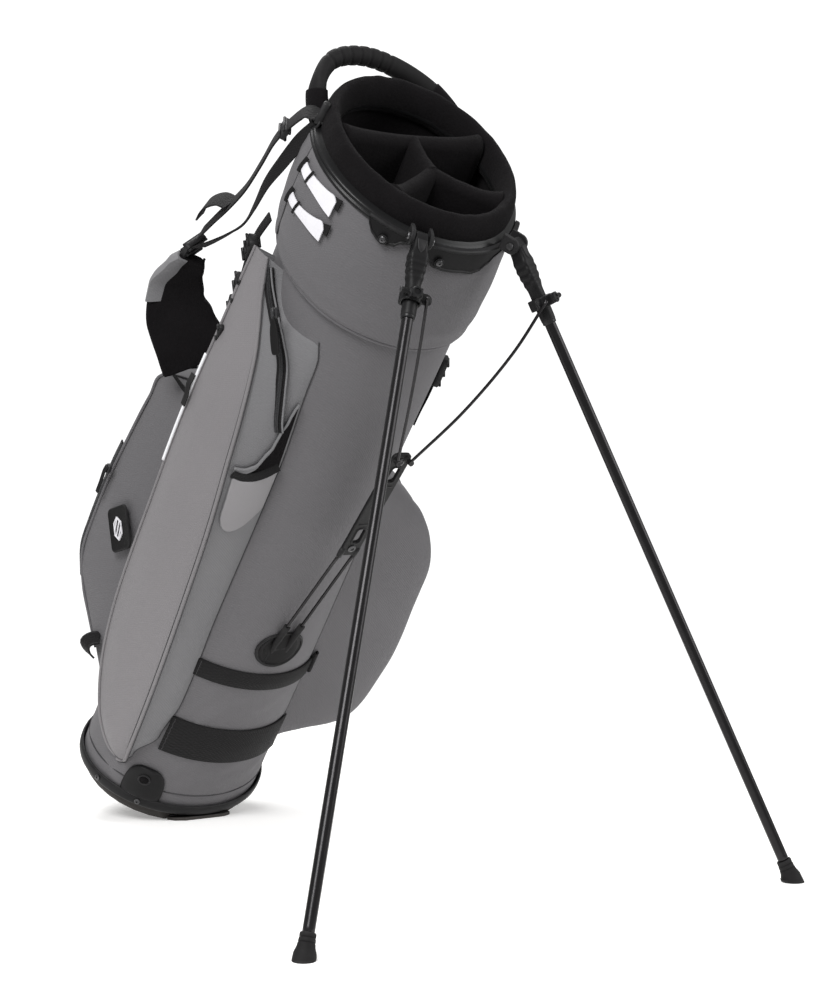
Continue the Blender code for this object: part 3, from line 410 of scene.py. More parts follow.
CUFF_LOW, CUFF_TOP = 0.7050, 0.8325
CUFF_RISE = 0.0150               # the cuff's lower edge climbs towards the strap side


def cuff_low(angle):
    """Height of the cuff's lower edge round the bag."""
    return CUFF_LOW + CUFF_RISE * max(0.0, -math.cos(math.radians(angle)) + 0.55) / 1.55


cuff_rings = []
for r in range(41):
    share = r / 40
    ring = []
    for k in range(180):
        angle = 2 * k - 180
        low = cuff_low(angle)
        place = CUFF_LOW + (CUFF_TOP - CUFF_LOW) * share
        lift = (low - CUFF_LOW) * (1 - share)
        ripple = 0.0005 * noise.noise(Vector((math.cos(angle / 57.3) * 3, place * 22, 0)))
        point = cuff_at(angle, place, ripple)
        ring.append(point + Vector((0, 0, lift)))
    cuff_rings.append(ring)
cuff_rings.append([on_tube(360 * k / 180 - 180, 0.8330, -0.001) for k in range(180)])
cuff = piece("padded_cuff", skin(cuff_rings, caps=False), GREY_CLOTH)
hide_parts("cuff_shell")


def oval(half_width, half_depth, sides):
    turn = [2 * math.pi * k / sides for k in range(sides)]
    return [(half_width * math.cos(a), half_depth * math.sin(a)) for a in turn]


def sweep(path, section, across=None, caps=True):
    """Carry a section along a path.  across keeps it level; without it the section just follows.

    section is a list of (across, out) points, or a function of the share of the way along.
    """
    rings = []
    last = Vector(across) if across else (path[1] - path[0]).orthogonal()
    for i, point in enumerate(path):
        run = (path[min(i + 1, len(path) - 1)] - path[max(i - 1, 0)]).normalized()
        wide = Vector(across) if across else last
        wide = (wide - wide.dot(run) * run).normalized()
        last = wide
        out = run.cross(wide)
        points = section(i / (len(path) - 1)) if callable(section) else section
        rings.append([point + wide * a + out * b for a, b in points])
    return skin(rings, caps=caps)


def cord(path, radius, sides=10):
    return sweep(path, oval(radius, radius, sides))


SEAM_DARK = finish("seam_shadow_thread", WEAVE, {"Threads": 420.0}, (0.040, 0.039, 0.041),
                   (0.062, 0.060, 0.063), (0.8, 0.95), 0.0001, shine=0.2)

PIPING = 0.0027
cuff_piping = [on_tube(2.5 * k, cuff_low(2.5 * k) + 0.0015, 0.0052) for k in range(145)]
piece("cuff_piping", cord(cuff_piping, PIPING), GREY_CLOTH)
cuff_stitch = [on_tube(2.5 * k, cuff_low(2.5 * k) + 0.0062, 0.0082) for k in range(145)]
piece("cuff_seam_line", cord(cuff_stitch, 0.0006, 6), SEAM_DARK)
for side, seam in zip(("left", "right"), CUFF_SEAMS):
    line = [cuff_at(seam, 0.724 + 0.0106 * k, 0.0002) for k in range(11)]
    piece(side + "_cuff_seam", cord(line, 0.0009, 6), SEAM_DARK)

# ---------------------------------------------------------------- mouth frame and trim
# A hard moulded frame holds the mouth open.  Its satin double bead covers the join with the
# cuff, and the rim pad and the handle are fixed into it.


def smoothed(made, levels=1):
    step = made.modifiers.new("round", "SUBSURF")
    step.levels = levels
    step.render_levels = levels
    return made


# the fine grain of a moulding or a drawn tube, with a broad change of polish
GRAIN, grain_in, grain_out = effect("fine_grain", [("Grain", 900.0), ("Patches", 40.0)],
                                    ["Tone", "Height"])
grain_space = bag_space(GRAIN)
pits = noise_at(GRAIN, grain_space, grain_in.outputs["Grain"], 2.0, 0.6)
patches = noise_at(GRAIN, grain_space, grain_in.outputs["Patches"], 4.0, 0.6)
GRAIN.links.new(calc(GRAIN, "MULTIPLY_ADD", patches, 0.7, calc(GRAIN, "MULTIPLY", pits, 0.3)),
                grain_out.inputs["Tone"])
GRAIN.links.new(pits, grain_out.inputs["Height"])

GLOSS_TRIM = finish("black_trim", GRAIN, {"Grain": 500.0}, (0.0035, 0.0035, 0.0038),
                    (0.0075, 0.0075, 0.0080), (0.24, 0.38), 0.00005, wear=0.15, coat=0.04, shine=0.18)

frame_profile = [(0.8322, 0.1180, 0.1172), (0.8330, 0.1206, 0.1199), (0.8350, 0.1216, 0.1209),
                 (0.8372, 0.1206, 0.1199), (0.8382, 0.1186, 0.1180), (0.8392, 0.1196, 0.1190),
                 (0.8412, 0.1196, 0.1190), (0.8428, 0.1176, 0.1172), (0.8440, 0.1140, 0.1138),
                 (0.8500, 0.1042, 0.1052), (0.8512, 0.0960, 0.0970), (0.8460, 0.0935, 0.0945),
                 (0.8335, 0.0935, 0.0945)]
frame_rings = [[slanted(x, y, z) for x, y in oval(a, b, 160)] for z, a, b in frame_profile]
mouth = smoothed(piece("mouth_trim", skin(frame_rings, wrap=True), GLOSS_TRIM))
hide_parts("mouth_frame")

# ---------------------------------------------------------------- fleece rim pad
# A roll of fleece over foam caps the mouth frame, so that clubs aren't scratched.  It is sewn
# into a groove of the frame, and its nap breaks up the outline.
RIM_MIDDLE = (0.1030, 0.1036)
RIM_Z, RIM_THICK, RIM_HIGH = 0.8500, 0.0096, 0.0200
rim_rings = []
for k in range(180):
    turn = 2 * math.pi * k / 180
    ring = []
    for j in range(20):
        a = 2 * math.pi * j / 20
        lump = 1 + 0.05 * noise.noise(Vector((math.cos(turn) * 9, math.sin(turn) * 9, j * 0.35)))
        out = RIM_THICK * lump * math.cos(a)
        ring.append(slanted((RIM_MIDDLE[0] + out) * math.cos(turn), (RIM_MIDDLE[1] + out) * math.sin(turn),
                            RIM_Z + RIM_HIGH * lump * math.sin(a)))
    rim_rings.append(ring)
rim = smoothed(piece("fleece_rim", skin(rim_rings, wrap=True), FLEECE))
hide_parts("rim_pad")

# ---------------------------------------------------------------- dividers
# Four fleece-covered walls part the mouth into bays.  Their padded tops sag a little between
# the ends and spread where they meet the rim.
DIVIDER_HALF = 0.0082
DIVIDER_TOP, DIVIDER_LOW = 0.8540, 0.6600


def fleece_wall(name, start, end, dip, flare):
    """A padded wall between two plan points; flare widens it at (start, end)."""
    start, end = Vector((*start, 0)), Vector((*end, 0))
    along = (end - start).normalized()
    across = Vector((along.y, -along.x, 0))
    rings = []
    for k in range(25):
        t = k / 24
        half = DIVIDER_HALF + flare[0] * math.exp(-t * 9) + flare[1] * math.exp(-(1 - t) * 9)
        lump = 0.0006 * noise.noise(Vector((start.x * 40 + t * 5, start.y * 40, 1)))
        top = DIVIDER_TOP - dip * math.sin(math.pi * t) + lump
        point = start.lerp(end, t)
        outline = [(half + lump, DIVIDER_LOW), (half + lump, 0.76), (half, top - 0.02)]
        outline += [(half * math.cos(a), top + (half + 0.001) * math.sin(a))
                    for a in [math.pi * j / 12 for j in range(13)]]
        outline += [(-half, top - 0.02), (-half - lump, 0.76), (-half - lump, DIVIDER_LOW)]
        rings.append([slanted(point.x + across.x * a, point.y + across.y * a, z) for a, z in outline])
    made = piece(name + "_wall", skin(rings), FLEECE)
    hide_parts(name)


fleece_wall("back_divider", (-0.0900, 0.0240), (0.0900, 0.0240), 0.003, (0.004, 0.004))
fleece_wall("centre_divider", (0, 0.0220), (0, -0.0260), 0.002, (0.000, 0.001))
fleece_wall("left_divider", (0.0020, -0.0250), (-0.0700, -0.0640), 0.003, (0.000, 0.005))
fleece_wall("right_divider", (-0.0020, -0.0250), (0.0700, -0.0640), 0.003, (0.000, 0.005))

# ---------------------------------------------------------------- lift handle
# A moulded grip with a soft skin arches behind the mouth.  Finger grooves cross its middle,
# and a stitched sleeve covers each end where it is screwed to the frame.
HANDLE = [(-0.0800, 0.0640, 0.8400), (-0.0830, 0.0900, 0.8580), (-0.0770, 0.1110, 0.8790),
          (-0.0560, 0.1260, 0.8960), (-0.0150, 0.1320, 0.9000), (0.0300, 0.1280, 0.8920),
          (0.0680, 0.1120, 0.8790), (0.0900, 0.0880, 0.8640), (0.0900, 0.0620, 0.8560)]
GROOVES = [0.30 + 0.048 * k for k in range(7)]


def grip(share):
    """The handle's section: oval, flatter inside, nipped at each finger groove."""
    nip = sum(0.0011 * math.exp(-((share - g) / 0.0065) ** 2) for g in GROOVES)
    end = 0.0028 * (math.exp(-share * 10) + math.exp(-(1 - share) * 8))
    flat = 0.0090 - nip
    return [((0.0108 - nip + end) * math.cos(a), flat * math.sin(a) * (0.86 if math.sin(a) < 0 else 1.0))
            for a in [2 * math.pi * j / 28 for j in range(28)]]


def spline(points, steps):
    """A smooth curve through points (Catmull-Rom)."""
    points = [Vector(p) for p in points]
    ends = [2 * points[0] - points[1]] + points + [2 * points[-1] - points[-2]]
    curve = []
    for p0, p1, p2, p3 in zip(ends, ends[1:], ends[2:], ends[3:]):
        for k in range(steps):
            t = k / steps
            curve.append(0.5 * (2 * p1 + (p2 - p0) * t + (2 * p0 - 5 * p1 + 4 * p2 - p3) * t ** 2
                                + (3 * p1 - p0 - 3 * p2 + p3) * t ** 3))
    curve.append(points[-1])
    return curve


def evenly(path, step):
    """The same line with its points a fixed step apart."""
    spaced = [path[0].copy()]
    left = step
    for start, end in zip(path, path[1:]):
        run = (end - start).length
        while run >= left:
            start = start.lerp(end, left / run)
            spaced.append(start)
            run = (end - start).length
            left = step
        left -= run
    return spaced


RUBBER = finish("black_rubber", GRAIN, {"Grain": 700.0}, (0.0045, 0.0043, 0.0045),
                (0.0105, 0.0100, 0.0104), (0.58, 0.78), 0.00015, wear=0.2, shine=0.14)

handle_path = evenly(spline(HANDLE, 12), 0.0014)
handle = piece("grip_handle", sweep(handle_path, grip, (0.25, 0.3, 1)), RUBBER)
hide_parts("lift_handle")
for name, first, last in (("near_handle_sleeve", 0.02, 0.17), ("far_handle_sleeve", 0.80, 0.98)):
    count = len(handle_path)
    run = handle_path[int(first * count):int(last * count)]
    sleeve = sweep(run, oval(0.0128, 0.0106, 28), (0.25, 0.3, 1))
    piece(name, sleeve, FLEECE)

# ---------------------------------------------------------------- base
# A moulded cup closes the tube, with a rubber sole under it.  The cloth is tucked behind the
# cup's lip, and a seam runs round just above it.
MOULDED = finish("black_moulding", GRAIN, {"Grain": 900.0}, (0.0035, 0.0034, 0.0036),
                 (0.0085, 0.0082, 0.0088), (0.36, 0.55), 0.00010, wear=0.2, shine=0.16)

cup_profile = [(0.0040, 0.108, 0.089), (0.0040, 0.1165, 0.0965), (0.0062, 0.1188, 0.0988),
               (0.0165, 0.1192, 0.0992), (0.0186, 0.1180, 0.0980), (0.0190, 0.1160, 0.0960),
               (0.0140, 0.1146, 0.0946), (0.0086, 0.1146, 0.0946)]
cup_rings = [[slanted(x, y, z) for x, y in oval(a, b, 128)] for z, a, b in cup_profile]
cup = smoothed(piece("base_ring", skin(cup_rings), MOULDED))
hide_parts("base_cup")
base_seam = [on_tube(360 * k / 144, 0.0330, 0.0006) for k in range(145)]
piece("base_seam_line", cord(base_seam, 0.0008, 6), SEAM_DARK)

# ---------------------------------------------------------------- left pocket
# A long garment pocket of three panels: a broad front panel that narrows to a rounded tip,
# and a gusset on each side that joins it to the tube.  A flat piped welt runs round the panel.
LEFT_FRONT_RIDGE = [(-0.1225, 0.0250, 0.7080), (-0.1240, 0.0080, 0.6680), (-0.1310, -0.0250, 0.6220),
                    (-0.1380, -0.0490, 0.5600), (-0.1400, -0.0605, 0.5000), (-0.1345, -0.0670, 0.4000),
                    (-0.1280, -0.0690, 0.2500), (-0.1235, -0.0670, 0.1640), (-0.1170, -0.0600, 0.1080),
                    (-0.1110, -0.0530, 0.0760), (-0.1060, -0.0475, 0.0600), (-0.1015, -0.0410, 0.0525)]
LEFT_BACK_RIDGE = [(-0.1165, 0.0580, 0.7020), (-0.1225, 0.0540, 0.6600), (-0.1300, 0.0480, 0.6050),
                   (-0.1370, 0.0440, 0.5400), (-0.1400, 0.0420, 0.4700), (-0.1400, 0.0400, 0.3800),
                   (-0.1380, 0.0380, 0.2500), (-0.1340, 0.0280, 0.1640), (-0.1290, 0.0100, 0.1080),
                   (-0.1235, -0.0060, 0.0790), (-0.1150, -0.0210, 0.0590), (-0.1065, -0.0310, 0.0515)]
LEFT_ROOTS = [(0.040, -69, -74), (0.067, -60, -88), (0.108, -49, -106), (0.164, -45, -114),
              (0.300, -46.5, -118), (0.500, -46.5, -118), (0.620, -49.5, -116), (0.710, -54, -112)]
LEFT_SWELL = [(0.045, 0.002, 0.001), (0.100, 0.008, 0.003), (0.200, 0.0125, 0.0045), (0.400, 0.0130, 0.0050),
              (0.560, 0.0100, 0.0055), (0.650, 0.0060, 0.0040), (0.710, 0.0020, 0.0015)]
RIDGE_STEPS = 10


def strip_between(start_line, end_line, columns, swell, middle=0.5, depth=1):
    """Rows of points from one line to another, swelling out from the bag's axis between."""
    rows = []
    for start, end in zip(start_line, end_line):
        out = Vector((start.x + end.x, start.y + end.y, 0)).normalized()
        amount = swell(0.5 * (start.z + end.z))
        row = []
        for k in range(columns + 1):
            t = k / columns
            bow = math.sin(math.pi * t ** middle) ** depth
            row.append(start.lerp(end, t) + out * amount * bow)
        rows.append(row)
    return rows


front_ridge = spline(LEFT_FRONT_RIDGE, RIDGE_STEPS)
back_ridge = spline(LEFT_BACK_RIDGE, RIDGE_STEPS)


def tucked(z):
    """The pocket's root ends under the cuff, lower than its ridge does."""
    return z if z < 0.640 else 0.640 + (z - 0.640) * 0.36


front_root = [on_tube(between(LEFT_ROOTS, p.z)[0], tucked(p.z) / (1 - 0.018), 0.0008) for p in front_ridge]
back_root = [on_tube(between(LEFT_ROOTS, p.z)[1], p.z / (1 + 0.012), 0.0008) for p in back_ridge]


def folded(rows, seed, depth, stretch=(26, 26, 7)):
    """Soft folds in a panel, strongest away from its edges."""
    made = []
    last = len(rows[0]) - 1
    for row in rows:
        line = []
        for k, point in enumerate(row):
            hold = math.sin(math.pi * k / last)
            out = Vector((point.x, point.y, 0)).normalized()
            wave = noise.noise(Vector((point.x * stretch[0], point.y * stretch[1],
                                       point.z * stretch[2] + seed)))
            wave += 0.5 * noise.noise(Vector((point.x * 60, point.y * 60, point.z * 17 + seed)))
            line.append(point + out * depth * wave * hold)
        made.append(line)
    return made


GUSSET_COLUMNS = 14
front_gusset = strip_between(front_root, front_ridge, GUSSET_COLUMNS, lambda z: between(LEFT_SWELL, z)[1])

GUSSET_CLOTH = finish("gusset_twill", WEAVE, {"Threads": 210.0}, (0.132, 0.131, 0.136),
                      (0.176, 0.174, 0.180), (0.68, 0.84), 0.00018, sheen=0.05, shine=0.3)
# a lighter copy of the tube's grey twill: the extra lightness is painted light from the key lamp on the
# pocket's face
LIT_POCKET_CLOTH = finish("pocket_twill_painted_light", WEAVE, {"Threads": 210.0, "Cloudiness": 7.0}, (0.150, 0.143, 0.148),
                      (0.200, 0.191, 0.197), (0.66, 0.84), 0.00018, sheen=0.06, shine=0.3)

# the gusset's top dives in under the cuff
TUCK_LOW, TUCK_HIGH, TUCK = 0.655, 0.698, 0.026
for row in front_gusset:
    for k, point in enumerate(row):
        lift = min(1.0, max(0.0, (point.z - TUCK_LOW) / (TUCK_HIGH - TUCK_LOW)))
        away = Vector((point.x, point.y, 0)).normalized()
        row[k] = point - away * TUCK * lift * (1 - (k / GUSSET_COLUMNS) ** 3)
front_panel = strip_between(front_ridge, back_ridge, 28, lambda z: between(LEFT_SWELL, z)[0], 0.9)
back_gusset = strip_between(back_ridge, back_root, 10, lambda z: between(LEFT_SWELL, z)[1])
piece("left_pocket_gusset", skin(folded(front_gusset, 4.0, 0.0018), loop=False), GUSSET_CLOTH)
left_panel = piece("left_pocket_panel", skin(folded(front_panel, 9.0, 0.0016), loop=False),
                   LIT_POCKET_CLOTH)
piece("left_pocket_back_gusset", skin(folded(back_gusset, 2.0, 0.0012), loop=False), GUSSET_CLOTH)
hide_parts("left_pocket")

# ---------------------------------------------------------------- right pocket
# A deep pocket on the far side: one full rounded pouch of the tube's cloth, sewn down both
# sides.  It hangs full, with soft folds across its face.
RIGHT_STATIONS = [(0.468, 0.02), (0.456, 0.18), (0.438, 0.42), (0.410, 0.68), (0.368, 0.86), (0.320, 0.93),
                  (0.250, 0.94), (0.200, 0.93), (0.150, 0.88), (0.118, 0.74), (0.098, 0.42), (0.091, 0.06)]


def right_outline(z, width):
    root = on_tube(46, z, 0.0008)
    back = on_tube(118, z, 0.0008)
    full = [(0.193, -0.084), (0.209, -0.040), (0.207, 0.015), (0.177, 0.052), (0.106, 0.060)]
    row = [Vector((root.x, root.y, z))]
    for x, y in full:
        angle = math.atan2(x, -y)
        half_width, half_depth = between(TUBE_PROFILE, z)
        skin_point = Vector((half_width * math.sin(angle), -half_depth * math.cos(angle), z))
        row.append(skin_point.lerp(Vector((x, y, z)), width))
    row.append(Vector((back.x, back.y, z)))
    return spline(row, 8)


right_rows = [right_outline(z, width) for z, width in RIGHT_STATIONS]
right_columns = [spline(column, 6) for column in zip(*right_rows)]
right_surface = [list(row) for row in zip(*right_columns)]
right_pouch = piece("right_pocket_pouch", skin(folded(right_surface, 6.0, 0.0080, (16, 16, 10)), loop=False),
                    GREY_CLOTH)
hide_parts("right_pocket")

# ---------------------------------------------------------------- ball pocket
# The ball pocket sits on the strap side.  It is a deep pouch of the tube's cloth, sewn down
# both sides, with piped corners and a top that slopes in to the tube.
BALL_STATIONS = [(0.500, -0.12, 0.05, 0.093, 0.160), (0.496, -0.12, 0.55, 0.096, 0.164),
                 (0.484, -0.11, 1.00, 0.1000, 0.168), (0.430, -0.04, 1.00, 0.1020, 0.176),
                 (0.310, 0.00, 1.00, 0.1060, 0.188), (0.200, 0.00, 1.00, 0.1060, 0.187),
                 (0.160, 0.00, 0.93, 0.1030, 0.174), (0.100, 0.00, 0.58, 0.0970, 0.142),
                 (0.062, 0.00, 0.12, 0.0940, 0.126)]


def ball_outline(z, slant, reach, half, depth):
    row = []
    for angle in (-128, -232):
        root = on_tube(angle, z, 0.0008)
        row.append(Vector((root.x, root.y, z + slant * root.y)))
    middle = []
    for x, y in [(-half * 0.95, 0.100), (-half, depth * 0.88), (-half * 0.86, depth * 0.97),
                 (-half * 0.45, depth), (half * 0.45, depth), (half * 0.86, depth * 0.97),
                 (half, depth * 0.88), (half * 0.95, 0.100)]:
        angle = math.atan2(x, -y)
        half_width, half_depth = between(TUBE_PROFILE, z)
        skin_point = Vector((half_width * math.sin(angle), -half_depth * math.cos(angle)))
        flat = skin_point.lerp(Vector((x, y)), reach)
        middle.append(Vector((flat.x, flat.y, z + slant * flat.y)))
    return spline([row[0]] + middle + [row[1]], 6)


ball_rows = [ball_outline(*station) for station in BALL_STATIONS]
ball_columns = [spline(column, 8) for column in zip(*ball_rows)]
ball_surface = [list(row) for row in zip(*ball_columns)]
ball_pouch = piece("ball_pocket_pouch", skin(folded(ball_surface, 1.0, 0.0022, (20, 20, 9)), loop=False),
                   GREY_CLOTH)
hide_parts("back_pocket")

# ---------------------------------------------------------------- leg bracket
# One nylon moulding wraps the leg side of the mouth.  Its lobes are screwed through the frame
# and two pairs of ears carry the leg pivots.


def softened(name, node, material, body="bag", fine=0.0009, passes=5, stretch=None):
    """A moulding's plain solid with its edges eased, stretched first if asked."""
    made = bpy.data.objects.new(name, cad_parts[node].data.copy())
    if stretch:
        made.data.transform(stretch)
    bpy.context.scene.collection.objects.link(made)
    grid = made.modifiers.new("even", "REMESH")
    grid.mode = "VOXEL"
    grid.voxel_size = fine
    grid.use_smooth_shade = True
    ease = made.modifiers.new("ease", "SMOOTH")
    ease.factor = 0.5
    ease.iterations = passes
    bpy.context.view_layer.update()
    mesh = bpy.data.meshes.new_from_object(made.evaluated_get(bpy.context.evaluated_depsgraph_get()))
    made.modifiers.clear()
    made.data = mesh
    mesh.materials.clear()
    mesh.materials.append(material)
    mesh.shade_smooth()
    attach(made, body)
    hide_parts(node)
    return made


BRACKET_IN, BRACKET_THICK, BRACKET_TOP = 0.0012, 0.0052, 0.8425
BRACKET_EDGE = [                 # angle from the middle, lower edge
    (-53, 0.8360), (-51.5, 0.8290), (-49, 0.8235), (-45, 0.8195), (-41, 0.8195), (-37.5, 0.8225),
    (-34, 0.8290), (-29, 0.8330), (-23, 0.8310), (-20, 0.8225), (-15, 0.8165), (-8, 0.8150), (0, 0.8150),
    (7, 0.8135), (12, 0.8155), (17, 0.8215), (22, 0.8290), (27, 0.8330), (33, 0.8300), (37.5, 0.8225),
    (41, 0.8195), (45, 0.8195), (49, 0.8235), (51.5, 0.8290), (53, 0.8360),
]
bracket_rings = []
for k in range(107):
    angle = -53 + k
    low = between(BRACKET_EDGE, angle)[0]
    edge = [(low, BRACKET_IN), (low - 0.0002, 0.5 * BRACKET_THICK), (low + 0.0003, BRACKET_THICK + 0.0004),
            (low + 0.0016, BRACKET_THICK + BRACKET_IN), (low + 0.0032, BRACKET_THICK + BRACKET_IN),
            (low + 0.0040, BRACKET_THICK + 0.0004), (BRACKET_TOP - 0.0040, BRACKET_THICK + 0.0004),
            (BRACKET_TOP - 0.0030, BRACKET_THICK + BRACKET_IN),
            (BRACKET_TOP - 0.0012, BRACKET_THICK + BRACKET_IN), (BRACKET_TOP, BRACKET_THICK),
            (BRACKET_TOP, BRACKET_IN)]
    bracket_rings.append([on_tube(angle, z, out, CUFF_STIFF) for z, out in edge])
bracket = piece("bracket_moulding", skin(bracket_rings), MOULDED, crease=35)
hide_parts("leg_bracket")


def turned(profile, at, axis, sides=32, caps=True):
    """A lathe-turned shape: profile is (along the axis, radius) points from a foot point."""
    axis = Vector(axis).normalized()
    wide = axis.orthogonal().normalized()
    out = axis.cross(wide)
    rings = [[Vector(at) + axis * h + wide * a + out * b for a, b in oval(r, r, sides)] for h, r in profile]
    return skin(rings, caps=caps)


STEEL = finish("black_screw", GRAIN, {"Grain": 1200.0}, (0.030, 0.030, 0.031),
               (0.065, 0.064, 0.066), (0.25, 0.40), 0.00004, metallic=0.9, wear=0.3)


def screw(name, node, seat, out, radius, high, body="bag", place=BAG):
    """A domed screw head with a shallow round recess."""
    out = Vector(out).normalized()
    dome = [(0, radius), (high * 0.45, radius), (high * 0.8, radius * 0.82), (high, radius * 0.5),
            (high, radius * 0.34), (high * 0.35, radius * 0.28), (high * 0.35, 0.00001)]
    head = piece(name, turned(dome, seat, out, 24), STEEL, body, place, crease=40)
    if node:
        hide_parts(node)
    return head


def face_out(angle):
    a = math.radians(angle)
    return Vector((math.sin(a), -math.cos(a), 0))


for name, angle in (("left", -43), ("middle", -13.5), ("right", 43)):
    seat = on_tube(angle, 0.8260, 0.0086, CUFF_STIFF)
    screw(name + "_bracket_screw", "bracket_screw_" + name, seat, face_out(angle), 0.0036, 0.0016)
    ring = [(0, 0.0052), (0.0009, 0.0052), (0.0012, 0.0046), (0.0006, 0.0040)]
    piece(name + "_screw_boss", turned(ring, seat - face_out(angle) * 0.0006, face_out(angle), 28), MOULDED)

# ---------------------------------------------------------------- legs
# Each leg is a drawn alloy tube.  It hangs from a nylon yoke with three grip ridges, and a
# collar clamped under the yoke takes the end of its spring rod.
PIVOTS = {"left": Vector((-0.063, -0.119, 0.826)), "right": Vector((0.063, -0.119, 0.826))}
BOOTS = {"left": Vector((-0.320, -0.663, 0)), "right": Vector((0.320, -0.663, 0))}
SIDE = {"left": -1, "right": 1}
BAG_DOWN = (BAG.to_3x3() @ Vector((0, 0, -1))).normalized()
LEG_RADIUS, CLAMP_DOWN, CLAMP_OUT = 0.0060, 0.0670, 0.0145
EAR_RADIUS, EAR_ROOT = 0.0090, 0.0120
LEG = {}
for side, s in SIDE.items():
    pivot = BAG @ PIVOTS[side]
    leg = (BOOTS[side] - pivot).normalized()
    leg_x = (leg.cross(BAG_DOWN) * s).normalized()
    leg_y = (-leg).cross(leg_x)
    turn = Matrix((leg_x, leg_y, -leg)).transposed().to_4x4()
    LEG[side] = Matrix.Translation(pivot) @ turn

YOKE = [                         # distance down, half width, half depth
    (-0.0066, 0.0020, 0.0016), (-0.0062, 0.0050, 0.0036), (-0.0050, 0.0072, 0.0056),
    (-0.0020, 0.0078, 0.0070), (0.0040, 0.0079, 0.0078), (0.0130, 0.0079, 0.0080), (0.0165, 0.0088, 0.0082),
    (0.0195, 0.0100, 0.0086), (0.0225, 0.0102, 0.0086), (0.0250, 0.0094, 0.0080), (0.0270, 0.0098, 0.0086),
    (0.0290, 0.0103, 0.0090), (0.0310, 0.0098, 0.0086), (0.0330, 0.0088, 0.0079), (0.0350, 0.0093, 0.0084),
    (0.0370, 0.0098, 0.0088), (0.0390, 0.0093, 0.0084), (0.0410, 0.0084, 0.0077), (0.0430, 0.0089, 0.0082),
    (0.0450, 0.0093, 0.0086), (0.0470, 0.0089, 0.0082), (0.0495, 0.0082, 0.0077), (0.0540, 0.0080, 0.0080),
    (0.0600, 0.0082, 0.0082), (0.0860, 0.0081, 0.0081), (0.0876, 0.0076, 0.0076), (0.0880, 0.0066, 0.0066),
]


def level(points, down, shift=(0, 0)):
    return [Vector((x + shift[0], y + shift[1], -down)) for x, y in points]


def rounded(width, depth, corner, steps=4):
    """A rounded rectangle of (x, y) points."""
    outline = []
    for quarter in range(4):
        middle_x = (width / 2 - corner) * (1 if quarter in (0, 3) else -1)
        middle_y = (depth / 2 - corner) * (1 if quarter in (0, 1) else -1)
        for k in range(steps + 1):
            angle = math.pi / 2 * (quarter + k / steps)
            outline.append((middle_x + corner * math.cos(angle), middle_y + corner * math.sin(angle)))
    return outline


DARK_METAL = finish("anodised_tube", GRAIN, {"Grain": 1400.0, "Patches": 12.0}, (0.011, 0.0105, 0.011),
                    (0.026, 0.025, 0.026), (0.20, 0.30), 0.00003, metallic=0.85, wear=0.3, shine=0.3)

